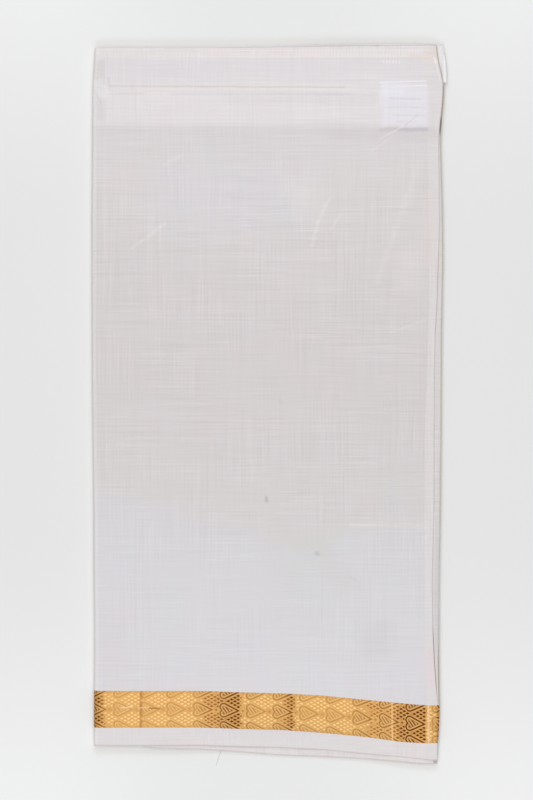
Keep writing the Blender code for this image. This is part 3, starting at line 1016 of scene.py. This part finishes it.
def slubs(bench, x, y):
    """How much lighter or darker the slubs make each place, and the sum of the two long noises."""
    level = bench.noise((0.014, 0.5, 0.4), 0.0, roughness=0.6)
    short = bench.noise((0.045, 1.0, 0.4), 7.0, detail=1.0)
    upright = bench.noise((0.5, 0.014, 0.4), 31.0, roughness=0.6)
    stray = bench.noise((1.0, 0.04, 0.4), 53.0, detail=1.0)
    weft_patches = bench.noise((0.024, 0.03, 0.4), 3.0).smooth(-0.17, 0.2)
    warp_patches = bench.noise((0.03, 0.02, 0.4), 13.0).smooth(-0.15, 0.2)
    bend = bench.noise((0.03, 0.03, 0.4), 23.0) * 9.0
    level_grid = (y * (2 * math.pi / WEFT_GRID) + bend).math("SINE") * weft_patches
    upright_grid = (x * (2 * math.pi / WARP_GRID) + bend).math("SINE") * warp_patches
    weft = (level + short * 0.6) * (weft_patches * 0.9 + 0.3)
    warp = (upright + stray * 0.45) * (warp_patches * 0.9 + 0.3)
    return weft + warp * 0.9 + (level_grid + upright_grid) * 0.075, level + upright


print("threads every", THREAD_PITCH, "mm, in a grid of", WEFT_GRID, "by", WARP_GRID, "mm")

# %% [markdown]
# ## The golden border
# The border is zari: silk or cotton wound with gilt foil, floated over the weave so that it hides the
# cotton. Its pattern is a traditional one that repeats every 23 mm: heart-shaped leaves that lie on
# their side, with a small bud before each, and a lattice of diamonds that fills the ground between
# them. The middle row of leaves is whole and the outer two are cut in half by the border's edges. It
# could be modelled, but the relief is under a tenth of a millimetre, so it belongs in the material.
#
# The chart is made by arithmetic. Two remainders bring every repeat to one cell. In the cell, one
# round lobe and one straight side give the distance to the leaf's outline, and mirroring gives
# the other half. Bands of that distance are the outline, the bright ring and the bars inside it.
#
# Gilt thread looks bright or brown as the cloth tilts, and here that play of light is painted into
# the colour. In the bright stretches the diamonds shine and the outlines are faint; in the brown ones
# the diamonds are dark holes. So every colour comes as a painted lit and shaded pair, and one signal,
# the shine, mixes between them.

# %% The border's chart
REPEAT, ROW = 23.09, BORDER / 2
LEAF_START = -135.2  # x of the blunt end of one leaf in the middle row
BUD, LOBE, LOBE_RADIUS, TIP = -3.1, (3.4, 2.8), 3.1, 16.4  # across the cell, from the leaf's blunt end
CELL_START = -5.0
# Bands of the distance to the leaf's outline: the outline goes from, to and fades over, and the
# other bands lie at a distance and reach so far on each side.
OUTLINE = (-0.66, 0.6, 0.28)
RING, MARGIN, INNER_RIM = (-1.25, 0.9), (1.15, 0.75), (-2.1, 0.6)
DOT_ACROSS, DOT_ALONG, DOT_START = REPEAT / 4, ROW / 5, 4.6
BARS, BAR_LEAN = 3.0, 0.75
FOLD_AT = 153.0  # how far left of the middle the strip turns under
# painted reflection: how brightly the border shines at each place across the packet
SHINE_STOPS = (
    (-152.5, 0.0),
    (-148.0, 0.1),
    (-143.5, 0.44),
    (-138.0, 0.9),
    (-86.0, 0.86),
    (-62.0, 0.8),
    (-55.5, 0.46),
    (-41.0, 0.25),
    (-32.5, 0.0),
    (-27.0, 0.05),
    (-23.5, 0.55),
    (-17.0, 0.72),
    (4.0, 0.68),
    (12.0, 0.5),
    (18.0, 0.22),
    (20.5, 0.18),
    (23.5, 0.7),
    (30.0, 0.8),
    (66.0, 0.78),
    (79.0, 0.62),
    (84.0, 0.5),
    (92.0, 0.45),
    (98.0, 0.44),
    (103.0, 0.45),
    (106.5, 0.42),
    (110.0, 0.4),
    (114.0, 0.16),
    (121.0, 0.0),
    (135.0, 0.0),
    (137.5, 0.7),
    (143.5, 0.95),
    (147.5, 0.1),
)
ZARI = {
    "lattice": (dyed(205, 154, 89), dyed(205, 158, 94)),
    "dot": (dyed(98, 44, 0), dyed(238, 196, 131)),
    "outline": (dyed(109, 57, 0), dyed(206, 157, 90)),
    "ring": (dyed(219, 171, 108), dyed(222, 177, 114)),
}
# Where the thread half turns to the light, the diamonds are less dark and the lattice between them
# is brighter.
HALF_LIT, HALF_LIT_LATTICE = dyed(164, 111, 58), dyed(219, 169, 103)
# Painted glints and painted shade where the border is creased, and the pale line where the hem is stitched:
# where they start and end, how far they reach, colour, strength.
BORDER_LIGHT_AND_STITCH_MARKS = (
    ((-111.0, -251.0), (-111.4, -282.0), 2.2, (168, 108, 44), 0.6),
    ((-128.8, -264.0), (-119.5, -263.2), 1.3, (250, 234, 208), 0.4),
    ((-113.5, -264.0), (-104.8, -263.8), 1.2, (242, 220, 190), 0.4),
    ((-103.8, -264.2), (-94.6, -264.8), 1.0, (124, 66, 26), 0.7),
    ((106.6, -256.0), (107.2, -294.0), 1.2, (244, 204, 142), 0.7),
    ((138.6, -259.0), (138.6, -297.0), 1.5, (234, 200, 154), 0.85),
)
print("the border repeats every", REPEAT, "mm, with rows", ROW, "mm apart")


# %% The outline of one leaf
def leaf_distance(across, along):
    """Distance in millimetres to the leaf's outline, negative inside. along is mirrored about its stem."""
    run = np.subtract((TIP, 0.0), LOBE)
    length = float(np.hypot(*run))
    step_x, step_y = (float(value) for value in run / length)
    lean = LOBE_RADIUS / length
    upright = math.sqrt(1 - lean * lean)
    off_x, off_y = across - LOBE[0], along - LOBE[1]
    onward = off_x * step_x + off_y * step_y
    outward = off_y * step_x - off_x * step_y
    side_distance = outward * upright + onward * lean - LOBE_RADIUS
    lobe_distance = (off_x * off_x + off_y * off_y).math("SQRT") - LOBE_RADIUS
    on_side = (onward * upright - outward * lean).smooth(-0.15, 0.15)
    return lobe_distance + (side_distance - lobe_distance) * on_side


leaf_size = (TIP - LOBE[0] + LOBE_RADIUS, 2 * (LOBE[1] + LOBE_RADIUS))
print("one leaf of the border is", [round(size, 1) for size in leaf_size], "mm")


# %% The border's colour and relief
def zari(bench, u, v, shine_shift=0.0):
    """The border's colour, its relief and its shine. v is 0 on its near edge."""
    jitter = bench.noise((0.8, 0.8), 17.0, detail=1.0, source=bench.cloth)
    across = (u + jitter * 0.5 - (LEAF_START + CELL_START)).repeated(REPEAT) + CELL_START
    beside = (v + ROW / 2).repeated(ROW) - ROW / 2
    along = beside.size()
    distance = leaf_distance(across, along)
    outline = distance.between(*OUTLINE)
    ring, margin = distance.near(*RING), distance.near(*MARGIN)
    bar_place = ((across + beside * BAR_LEAN).repeated(BARS) - BARS / 2).size()
    bars = bar_place.smooth(0.9, 0.55) * distance.smooth(-1.9, -2.3)
    bars = bars.math("MAXIMUM", distance.near(*INNER_RIM) * 0.7)
    step_across, step_along = (across - DOT_START) / DOT_ACROSS, along / DOT_ALONG
    off_first, off_second = (
        ((place + 0.5).repeated(1.0) - 0.5).size()
        for place in (step_across + step_along, step_across - step_along)
    )
    dots = off_first.math("MAXIMUM", off_second).smooth(0.38, 0.25)
    dots = dots * distance.smooth(1.1, 1.5) * along.smooth(1.9, 2.4)  # none on a leaf or beside its stem
    bud = ((across - BUD).size() * 0.8 + along).smooth(1.5, 0.8)

    wander = bench.noise((0.11, 0.16), 3.0, source=bench.cloth) * 5.0
    along_strip = (u + wander + (shine_shift + FOLD_AT)).size() - FOLD_AT  # past the fold it runs back
    tone = bench.number(bench.ramp(along_strip, -153.0, 149.0, SHINE_STOPS))
    patchy = bench.noise((0.06, 0.1), 11.0, detail=3.0, source=bench.cloth) * 0.6
    fleck = bench.noise((0.45, 0.45), 29.0, source=bench.cloth) * 0.5
    shine = (tone + patchy * tone.near(0.5, 0.6) + fleck * tone.near(0.6, 0.6) * 0.4).held()
    pairs = {name: bench.mix(shine, *pair) for name, pair in ZARI.items()}
    bright = (ring + margin * 0.7 + distance.smooth(-1.3, -1.9) * 0.7).math("MINIMUM", 1.0)
    lattice = bench.mix(shine.near(0.42, 0.2), pairs["lattice"], HALF_LIT_LATTICE)
    colour = bench.mix(bright, lattice, pairs["ring"])
    turned = shine.smooth(0.46, 0.6)  # a diamond is bright or dark, and fades between
    hole, spark = ZARI["dot"]
    hole = bench.mix(shine.smooth(0.05, 0.45), hole, HALF_LIT)
    colour = bench.mix(dots * (turned * 2.0 - 1.0).size(), colour, bench.mix(turned, hole, spark))
    drawn = (outline + bars * 0.95 + bud * 0.8).math("MINIMUM", 1.0)
    colour = bench.mix(drawn, colour, pairs["outline"])
    # painted glints: the foil's sparkle brightens and darkens the gold in fine flecks
    foil = bench.noise((0.5, 2.6), 5.0, detail=3.0, roughness=0.7, source=bench.cloth)
    glint = bench.noise((1.3, 1.3), 9.0, roughness=0.7, source=bench.cloth)
    level = foil * 0.16 + glint * 0.42 + 1.0
    colour = bench.mix(1.0, colour, bench.tint(level, level, level), blend="MULTIPLY")
    rib = (v * (math.pi / 0.42)).math("SINE").size()
    relief = ring * 0.5 + margin * 0.25 - drawn * 0.5 - dots * 0.5 + rib * 0.25 + foil * 0.4
    return colour, relief, shine


print("the shine has", len(SHINE_STOPS), "stops, and the border has", len(BORDER_LIGHT_AND_STITCH_MARKS), "marks")

# %% [markdown]
# ## What shows through the top leaf
# Sheer cotton lets the leaves below show as soft tones. We could make the leaf really transparent,
# but glass-like cloth renders slowly and many programs that open the model would drop it.
# So the top face carries the tones in its own material, placed by Object coordinates where the things
# below really are: the flap's strip and its lines of stitches, the slip, a painted shadow under the slip,
# the uneven stack. It also carries painted highlights along the creases and on the corners, and painted
# shade at the tucked corner. They fade out on the sides, and the underside has none of them.

# %% Tones along the packet
GROUND_TONES = (
    (-300.0, (224, 218, 218)),
    (-250.0, (219, 217, 220)),
    (-200.0, (218, 216, 219)),
    (-113.0, (215, 213, 216)),
    (-103.0, (214.5, 210.5, 210.5)),
    (0.0, (213.5, 208.5, 208.8)),
    (100.0, (214.5, 209.5, 209.5)),
    (200.0, (218.5, 214, 214)),
    (239.0, (217, 212.5, 213.5)),
    (245.0, (226, 221, 222)),
    (272.0, (228, 223, 224)),
    (278.0, (224.5, 220.5, 222.5)),
    (299.0, (223, 219, 221.5)),
    (302.0, (229, 223.5, 223)),
    (312.0, (229, 223.5, 223)),
)
# The edges between the tones lie aslant: places across, and how far they have climbed by then.
SLANT_CLIMB, SLANT_START = 60.0, -38.0
SLANT = ((-152.0, 0.0), (-110.0, 0.3), (-60.0, 0.5), (-16.0, 0.55), (10.0, 0.9), (50.0, 1.0))
UNDER_TONE = (224, 220, 219)
HEM_TONE = (224, 219, 219)
# Soft boxes: left, right, near, far, how soft, colour, strength.
PATCHES = (
    (-160.0, -143.4, 299.0, 320.0, 1.5, (229, 223, 223), 0.6),
    (-160.0, -143.4, 282.0, 299.0, 1.8, (215, 211, 211), 0.75),
    (-150.5, -143.0, 267.0, 282.0, 2.2, (224, 222, 220), 0.7),
    # painted shade below the tucked corner
    (-151.0, -143.0, 247.0, 264.0, 3.0, (211, 205, 205), 0.55),
    (52.0, 150.0, 229.0, 239.5, 3.0, (212, 207, 208), 0.5),
    (97.6, 138.0, 242.0, 279.5, 3.4, (230, 227, 233), 0.9),
    (97.0, 118.0, 268.0, 277.0, 3.0, (236, 234, 240), 0.6),
    # painted shadow under the slip's near edge
    (96.0, 138.5, 237.0, 239.8, 1.5, (202, 197, 201), 0.6),
    (110.0, 138.0, 237.6, 239.8, 1.4, (198, 193, 199), 0.75),
    (-40.0, 95.0, 261.0, 271.0, 2.5, (221, 216, 217), 0.5),
    (-100.0, 24.0, 148.0, 212.0, 18.0, (216, 214, 219), 0.5),
    (14.0, 42.0, 160.0, 196.0, 12.0, (224, 221, 221), 0.6),
    (112.0, 136.0, 96.0, 138.0, 7.0, (223, 218, 217), 0.5),
    (101.0, 114.0, -94.0, -64.0, 6.0, (207, 211, 214), 0.3),
    (12.0, 54.0, -170.0, -130.0, 10.0, (213, 214, 213), 0.4),
    (-152.0, -122.0, -240.0, -176.0, 14.0, (218, 212, 216), 0.45),
    (80.0, 108.0, -222.0, -188.0, 9.0, (210, 208, 210), 0.5),
    (136.0, 143.5, -246.0, -214.0, 4.0, (230, 212, 217), 0.45),
    (135.0, 150.0, 296.0, 320.0, 3.0, (230, 220, 215), 0.7),
    (136.0, 143.0, 120.0, 186.0, 4.0, (225, 214, 212), 0.5),
)
# Soft lines: where they start and end, how far they reach, colour, strength.
MARKS = (
    ((-139.0, 278.3), (92.0, 277.9), 1.2, (233, 228, 224), 0.6),
    ((-138.0, 276.4), (66.0, 275.2), 1.0, (208, 198, 192), 0.65),
    ((-138.0, 269.8), (-110.0, 269.6), 1.6, (214, 207, 206), 0.55),
    ((-110.0, 273.5), (84.0, 273.6), 1.4, (233, 228, 226), 0.7),
    ((-84.0, 269.6), (70.0, 269.4), 2.4, (217, 213, 216), 0.5),
    ((-139.5, 283.0), (-138.5, 274.0), 2.0, (209, 203, 203), 0.5),
    ((-141.0, 304.0), (-140.6, 283.0), 1.2, (213, 207, 205), 0.5),
    ((-60.0, 307.2), (140.0, 307.8), 1.0, (236, 230, 222), 0.6),
    ((-60.0, 301.6), (140.0, 302.2), 1.0, (236, 230, 221), 0.6),
    ((-30.0, 299.6), (136.0, 300.0), 0.9, (215, 209, 210), 0.4),
    ((30.0, 311.4), (146.0, 312.6), 1.0, (206, 180, 152), 0.8),
    ((123.0, 302.5), (140.0, 301.0), 2.2, (226, 213, 198), 0.5),
    ((96.0, 279.4), (136.0, 280.8), 1.1, (240, 238, 242), 0.8),
    ((110.0, 276.0), (137.0, 276.8), 1.0, (240, 238, 242), 0.6),
    # painted highlight on the tucked corner, then painted shade along its fold
    ((-143.5, 276.0), (-142.8, 267.0), 2.8, (230, 229, 230), 0.6),
    ((-154.0, 276.0), (-147.0, 263.0), 2.4, (208, 203, 203), 0.5),
    ((-142.9, 262.0), (-142.6, 96.0), 1.2, (224, 219, 219), 0.45),
    ((-137.8, 240.0), (-138.4, 20.0), 1.2, (221, 216, 216), 0.35),
    # painted highlights along the creases, where their ridges catch the light
    ((-119.0, 135.5), (-105.0, 145.5), 1.9, (228, 225, 225), 0.45),
    ((-105.0, 145.5), (-90.5, 157.0), 2.3, (228, 225, 225), 0.5),
    ((37.4, 137.5), (42.6, 158.0), 2.4, (228, 224, 223), 0.6),
    ((42.6, 158.0), (49.0, 172.5), 2.6, (228, 224, 223), 0.6),
    ((49.0, 172.5), (53.5, 179.0), 1.8, (228, 224, 223), 0.5),
    ((53.0, 151.0), (62.0, 164.0), 1.8, (225, 221, 221), 0.6),
    ((89.0, 220.0), (108.0, 233.0), 1.8, (227, 223, 223), 0.35),
    ((96.6, 231.0), (105.5, 235.0), 1.1, (231, 227, 228), 0.5),
    ((105.5, 235.0), (117.0, 242.0), 1.2, (235, 231, 234), 0.55),
    # painted shade beside the crease over the slip
    ((118.5, 242.0), (129.5, 251.5), 0.9, (206, 201, 208), 0.55),
    # painted highlights along two more creases
    ((94.0, 106.0), (134.0, 220.0), 5.0, (222, 218, 218), 0.5),
    ((-92.0, 208.0), (-76.0, 216.0), 2.0, (225, 221, 221), 0.5),
    ((106.0, 62.0), (136.0, 73.0), 1.8, (223, 218, 218), 0.5),
    ((71.0, -105.4), (140.0, -106.2), 3.4, (226, 220, 218), 0.6),
    ((28.0, -112.0), (68.0, -156.0), 18.0, (212, 209, 209), 0.45),
    ((-2.4, -81.6), (-2.0, -84.0), 2.9, (186, 185, 185), 0.85),
    ((41.6, -129.6), (42.6, -130.4), 2.9, (190, 190, 188), 0.85),
    # painted highlights on the far right corner of the top leaf
    ((143.9, 300.6), (145.0, 297.0), 1.6, (243, 242, 245), 0.8),
    ((144.6, 298.0), (148.8, 281.0), 0.8, (240, 239, 241), 0.7),
    ((146.0, 303.0), (146.6, 300.6), 1.4, (222, 196, 164), 0.8),
    ((9.0, 3.0), (11.0, 1.0), 2.4, (203, 198, 199), 0.5),
    ((71.0, -151.0), (75.0, -152.5), 2.6, (207, 205, 209), 0.5),
)
SECOND_MARKS = (
    ((-100.0, -301.0), (0.0, -303.0), 5.0, (227, 221, 220), 0.8),
    ((0.0, -303.0), (142.0, -311.0), 5.0, (227, 221, 220), 0.8),
    ((144.0, -311.4), (145.6, -312.4), 1.8, (168, 158, 162), 0.9),
    # painted highlight along the right edge beside the flap
    ((153.0, 300.0), (153.6, 278.0), 1.0, (244, 243, 245), 0.8),
)
# Painted highlight along the flap's folded right edge, and painted shade left of it.
FLAP_HIGHLIGHT_AND_SHADE = (
    ((152.6, 303.0), (153.7, 279.0), 1.1, (246, 245, 247), 0.8),
    ((149.5, 300.0), (151.0, 282.0), 1.2, (214, 212, 216), 0.5),
)
# Rows of close stitches: left, right, near, far, pitch, strength.
TEETH = (
    (97.0, 114.0, 295.8, 299.2, 2.8, 0.6),
    (22.0, 132.0, 302.6, 308.6, 2.8, 0.3),
)
TOOTH_TONE = (240, 236, 237)
# Plain ruled lines on the slip, as they show through: where each starts and ends, how far it reaches.
RULES = (
    ((105.0, 265.6), (132.0, 264.8), 1.1),
    ((101.0, 258.0), (135.0, 257.6), 1.0),
    ((108.0, 251.2), (136.0, 250.8), 0.9),
    ((111.0, 245.6), (127.0, 245.2), 1.0),
)
RULE_TONE, RULE_STRENGTH = (215, 212, 221), 0.7
print(len(PATCHES), "soft boxes,", len(MARKS), "soft lines and", len(RULES), "rules on the top leaf")

# %% Drawing the tones
SIDES_ENDS = float(SIDES["y"][0]), float(SIDES["y"][-1])


def read_side(bench, y, column):
    """A column of the SIDES table inside a material."""
    low, high = float(SIDES[column].min()), float(SIDES[column].max())
    stops = [(place, (value - low) / (high - low)) for place, value in zip(SIDES["y"], SIDES[column])]
    return bench.number(bench.ramp(y, *SIDES_ENDS, stops)) * (high - low) + low


def pen(bench, x, y):
    """What marks are drawn with: a line that is a little broken and never quite straight."""
    broken = bench.noise((0.25, 0.25), 9.0).smooth(-0.35, 0.05, 0.35, 1.0)
    return x + bench.noise((0.09, 0.09), 41.0) * 1.2, y + bench.noise((0.09, 0.09), 47.0) * 1.2, broken


def marked(bench, colour, pen, marks):
    """The colour with soft lines drawn over it."""
    bent_x, bent_y, broken = pen
    for start, stop, reach, levels, strength in marks:
        mask = bench.line(bent_x, bent_y, start, stop, reach) * broken * strength
        colour = bench.mix(mask, colour, dyed(*levels))
    return colour


def seen_through(bench, x, y, pen, streaks):
    """The top face's colour before its slubs.

    Left of the slip the tones run into each other along the threads.
    """
    slant = bench.number(bench.ramp(x, -154.0, 62.0, SLANT)) * SLANT_CLIMB + SLANT_START
    drift = bench.noise((0.012, 0.012), 2.0, detail=3.0) * 40.0 + streaks * 56.0 + slant
    sway = y + drift * y.between(-190.0, 150.0, 50.0) * x.smooth(50.0, 72.0, 1.0, 0.0)
    colour = bench.ramp(sway, -300.0, 312.0, [(place, dyed(*levels)) for place, levels in GROUND_TONES])
    hem_line = read_side(bench, y, "hem_line")
    in_hem = (x - hem_line).smooth(-0.6, 1.4)
    colour = bench.mix(in_hem * 0.8, colour, dyed(*HEM_TONE))
    ragged_x = bench.noise((0.06, 0.06), 51.0)
    ragged_y = bench.noise((0.06, 0.06), 57.0)
    for left, right, near, far, soft, levels, strength in PATCHES:
        ragged = soft * 2.2
        mask = (x + ragged_x * ragged).between(left, right, soft)
        mask = mask * (y + ragged_y * ragged).between(near, far, soft) * strength
        colour = bench.mix(mask, colour, dyed(*levels))
    for left, right, near, far, pitch, strength in TEETH:
        tooth = (x.math("MODULO", pitch) - pitch / 2).size().smooth(0.3, 0.9, 1.0, 0.0)
        mask = tooth * x.between(left, right, 2.0) * y.between(near, far, 0.5)
        colour = bench.mix(mask * strength, colour, dyed(*TOOTH_TONE))
    return marked(bench, colour, pen, (*MARKS, *((*rule, RULE_TONE, RULE_STRENGTH) for rule in RULES)))


# %% [markdown]
# ## The cloth's materials
# All the leaves are one cloth, so they share one recipe: ground, border and selvedge by their place
# on the flat cloth, slubs over it all, and a soft sheen from the fine hairs. The recipe has a few
# switches: whether things show through, the ground's tone, how the border catches the light and
# where it lies, and the lines of painted shade along the edges.

# %% One recipe for every leaf
SLUB_STRENGTH = 0.2
EDGE_TONE = (205, 188, 181)  # the selvedge's outermost threads
FOLD_PAINTED_LIGHT = (240, 237, 236)  # painted light: the fold is drawn lighter, as light from the pale table comes back through it
ALL_ALONG = (-400.0, 400.0, 1.0)
TOP_FACE = (2.6, 4.6)  # heights between which the top face's tones fade in
BORDER_ROWS = (SELVEDGE, SELVEDGE + BORDER)
LOWER_BORDER_ROWS = (19.0, 51.3)  # under the top leaf's border, and so further from these leaves' edges
STACK_BORDER_ROWS = (22.0, 54.0)
NO_BORDER = (900.0, 901.0)  # past the end of the cloth


def cloth_material(
    name, tone, shows_through=False, shine_shift=0.0, border=BORDER_ROWS, rims=(), marks=()
):
    """A leaf's material. border says between which rows of the flat cloth its border lies.

    rims are lines of painted shade along an edge: the edge, how far inside it they start, where along y,
    colour, strength.
    """
    bench = Bench(name)
    x, y, z = bench.axes(bench.place)
    u, v, _ = bench.axes(bench.cloth)
    colour = dyed(*tone)
    fine, streaks = slubs(bench, x, y)
    marker = pen(bench, x, y) if marks else None
    if shows_through:
        on_top = z.smooth(*TOP_FACE)
        colour = bench.mix(on_top, colour, seen_through(bench, x, y, marker, streaks))
        # the slubs are fainter towards both ends
        fine = fine * y.smooth(-150.0, -96.0, 0.6, 1.0) * y.smooth(170.0, 205.0, 1.0, 0.75)
    elif marks:
        colour = marked(bench, colour, marker, marks)
    fold = x - read_side(bench, y, "fold")
    # painted light: the cloth is drawn lighter along the fold on the left
    colour = bench.mix(fold.smooth(0.8, 5.0, 0.7, 0.0), colour, dyed(*FOLD_PAINTED_LIGHT))
    edges = {}
    # painted shade along the edges that rims name
    for column, start, (low, high, soft), levels, strength in rims:
        if column not in edges:
            edges[column] = x - read_side(bench, y, column)
        mask = edges[column].smooth(start, start + 0.8) * y.between(low, high, soft) * strength
        colour = bench.mix(mask, colour, dyed(*levels))
    pink = bench.noise((0.028, 0.028), 61.0, detail=3.0) * 0.05
    blue = bench.noise((0.036, 0.036), 67.0, detail=3.0) * 0.036
    level = fine * SLUB_STRENGTH + 1.0
    hue = bench.tint(level + pink, level - pink * 0.5, level + blue)
    colour = bench.mix(1.0, colour, hue, blend="MULTIPLY")
    in_border = v.between(*border, 0.25)
    gold, relief, shine = zari(bench, u, v - border[0], shine_shift)
    gold = marked(bench, gold, marker, BORDER_LIGHT_AND_STITCH_MARKS) if shows_through else gold
    colour = bench.mix(v.smooth(0.3, 1.1, 0.7, 0.0), colour, dyed(*EDGE_TONE))
    colour = bench.mix(in_border, colour, gold)
    height = threads(x, y) * 0.35 + fine * 0.5
    height = height + (relief * 1.2 - height) * in_border
    rough = 0.85 - in_border * (shine * 0.12 + 0.3)
    metallic = in_border * (shine * 0.2 + 0.25)
    return bench.finish(colour, rough, height, depth=0.12, metallic=metallic, sheen=0.04)


# %% Dressing the leaves
def wear(piece, material):
    piece.data.materials.clear()
    piece.data.materials.append(material)


# Painted shade along the right edges of the top and second leaf, where they lie in the shadow of the leaf
# above or of their own fold, darkest in the gap near the far right corner.
TOP_EDGE_SHADE = (
    ("leaf", -0.8, ALL_ALONG, (214, 209, 202), 0.8),
    ("leaf", -0.9, (280.0, 314.0, 4.0), (224, 212, 202), 0.7),
    ("leaf", -0.9, (60.0, 132.0, 6.0), (192, 180, 166), 0.7),
    ("leaf", -1.0, (-250.0, -196.0, 8.0), (150, 124, 118), 0.85),
)
SECOND_EDGE_SHADE = (
    ("second", -1.3, ALL_ALONG, (196, 189, 172), 0.9),
    ("second", -1.3, (-262.0, -186.0, 10.0), (170, 156, 138), 0.85),
    ("second", -4.0, (-215.0, -110.0, 14.0), (206, 205, 207), 0.7),
    ("second", -2.0, (234.0, 277.0, 3.0), (178, 168, 152), 0.9),
    ("second", -2.0, (236.5, 249.0, 3.0), (128, 120, 108), 0.9),
)
wear(top_leaf, cloth_material("dhoti cotton", UNDER_TONE, shows_through=True, rims=TOP_EDGE_SHADE, marks=MARKS))
wear(hem, cloth_material("turned hem cotton", HEM_TONE))
second_cotton = cloth_material(
    "second leaf cotton",
    (215, 211, 211),
    border=LOWER_BORDER_ROWS,
    shine_shift=-20.0,
    rims=SECOND_EDGE_SHADE,
    marks=SECOND_MARKS,
)
wear(second_leaf, second_cotton)
wear(inner_flap, cloth_material("flap cotton", (229, 227, 228), border=NO_BORDER, marks=FLAP_HIGHLIGHT_AND_SHADE))
wear(stack, cloth_material("inner leaf cotton", (209, 204, 202), border=STACK_BORDER_ROWS))

# %% [markdown]
# The thread is bleached cotton with a slight cream cast, twisted, so a fine slanting rib runs along
# it. The slip is smooth paper, cooler and whiter than the cloth, with a little tooth.

# %% Thread and paper
bench = Bench("sewing thread")
x, y, _ = bench.axes(bench.place)
twist = ((x * 3.0 + y) * (math.pi / 0.5)).math("SINE")
cream = bench.mix(bench.noise((0.2, 0.2), 0.0).smooth(-0.3, 0.3), dyed(228, 221, 215), dyed(235, 230, 226))
thread_material = bench.finish(cream, 0.7, twist, depth=0.05, sheen=0.1)
wear(hem_stitches, thread_material)
wear(loose_thread, thread_material)

bench = Bench("blank slip paper")
fibre = bench.noise((1.4, 1.4), 0.0, detail=4.0, roughness=0.6)
paper = bench.mix(fibre.smooth(-0.3, 0.3), dyed(229, 227, 234), dyed(236, 234, 240))
wear(slip, bench.finish(paper, 0.6, fibre, depth=0.04))

# %% [markdown]
# ## The table, the light and the camera
# The packet lies on a plain pale table that is almost as white as itself, so only soft light shows its
# edges. A wide lamp overhead gives most of the light. Two narrower ones, low beyond the far and the
# near end, give each of those edges a faint shadow a few millimetres wide, and a dim white world
# fills the rest. The overhead lamp would do alone, but then the edges would melt into the table.
#
# The camera looks straight down from two metres through a long lens, which keeps the sides
# of the packet from showing.

# %% The table
FLOOR_SIZE, FLOOR_GAP = 5.0, 0.0001  # in metres; the gap keeps the two flat faces apart
bpy.ops.mesh.primitive_plane_add(size=FLOOR_SIZE, location=(0, 0, -FLOOR_GAP))
floor = bpy.context.object
floor.name = floor.data.name = "table_top"
floor.select_set(False)
bench = Bench("pale table")
x, y, _ = bench.axes(bench.place)
# painted shade: the table is darker around the packet and across its middle, where less light reaches, and
# brightens away from it
painted_light_falloff = (y - 20.0).size().smooth(120.0, 420.0) * x.size().smooth(30.0, 220.0, 0.25, 1.0)
mottle = bench.noise((0.004, 0.004), 0.0, detail=1.0) * 0.012 + 1.0
ground = bench.mix(painted_light_falloff, dyed(229, 230, 229), dyed(241, 242, 241))
ground = bench.mix(1.0, ground, bench.tint(mottle, mottle, mottle), blend="MULTIPLY")
wear(floor, bench.finish(ground, 0.8))

# %% Lamps, world and camera
# Name, place, width and depth in metres, watts, colour. The end lamps are cool, so their shadows are warm.
LAMPS = (
    ("overhead", (-0.03, 0.0, 2.4), 2.0, 2.4, 28.0, (1.12, 1.005, 0.865)),
    ("beyond_far_end", (-0.03, 1.3, 1.2), 1.4, 0.6, 7.3, (0.84, 0.98, 1.18)),
    ("beyond_near_end", (-0.03, -1.3, 1.2), 1.4, 0.6, 7.3, (0.84, 0.98, 1.18)),
)
for name, place, width, depth, power, colour in LAMPS:
    light = bpy.data.lights.new(name, "AREA")
    light.shape = "RECTANGLE"
    light.size, light.size_y = width, depth
    light.energy, light.color = power, colour
    lamp = bpy.data.objects.new(name, light)
    lamp.location = place
    lamp.rotation_euler = (-math.atan2(place[1], place[2]), 0.0, 0.0)
    bpy.context.collection.objects.link(lamp)

WORLD_STRENGTH = 0.26
world = bpy.data.worlds.new("dim white")
world.use_nodes = True
world.node_tree.nodes["Background"].inputs["Color"].default_value = (1.0, 1.0, 1.0, 1.0)
world.node_tree.nodes["Background"].inputs["Strength"].default_value = WORLD_STRENGTH
bpy.context.scene.world = world
bpy.context.scene.view_settings.view_transform = "Standard"

MM_PER_PIXEL = 0.87  # on the plane of the cloth
FRAME_HEIGHT = 800  # in pixels
CAMERA_DISTANCE, CLOTH_PLANE = 2.0, 0.006  # in metres, the second above the table
CENTRE = (-2.175, 3.48)  # what the middle of the frame looks at
lens = bpy.data.cameras.new("camera")
lens.lens = lens.sensor_width * CAMERA_DISTANCE / (FRAME_HEIGHT * MM_PER_PIXEL * MM)
camera = bpy.data.objects.new("camera", lens)
camera.location = (CENTRE[0] * MM, CENTRE[1] * MM, CAMERA_DISTANCE + CLOTH_PLANE)
bpy.context.collection.objects.link(camera)
bpy.context.scene.camera = camera
print("lens:", round(lens.lens, 1), "mm")

# %% [markdown]
# ## What each piece stands for
# The CAD model holds plain solids of the same leaves. Each new piece rides on the packet's one body and
# replaces its solids.

# %% Riding and replacing
PIECES = (
    (top_leaf, "sheer_cloth", ("top_leaf", "top_band", "top_selvedge")),
    (hem, "hem_cloth", ("hem", "hem_band", "hem_selvedge")),
    (hem_stitches, "hem_cloth", ()),
    (second_leaf, "under_cloth", ("second_leaf", "second_band", "second_selvedge")),
    (inner_flap, "flap_cloth", ("inner_flap",)),
    (slip, "label_paper", ("label",)),
    (stack, "inner_cloth", ("hidden_layers",)),
    (loose_thread, "hem_cloth", ()),
)
for piece, slot, nodes in PIECES:
    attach(piece, "root")
    if nodes:
        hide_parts(*nodes)
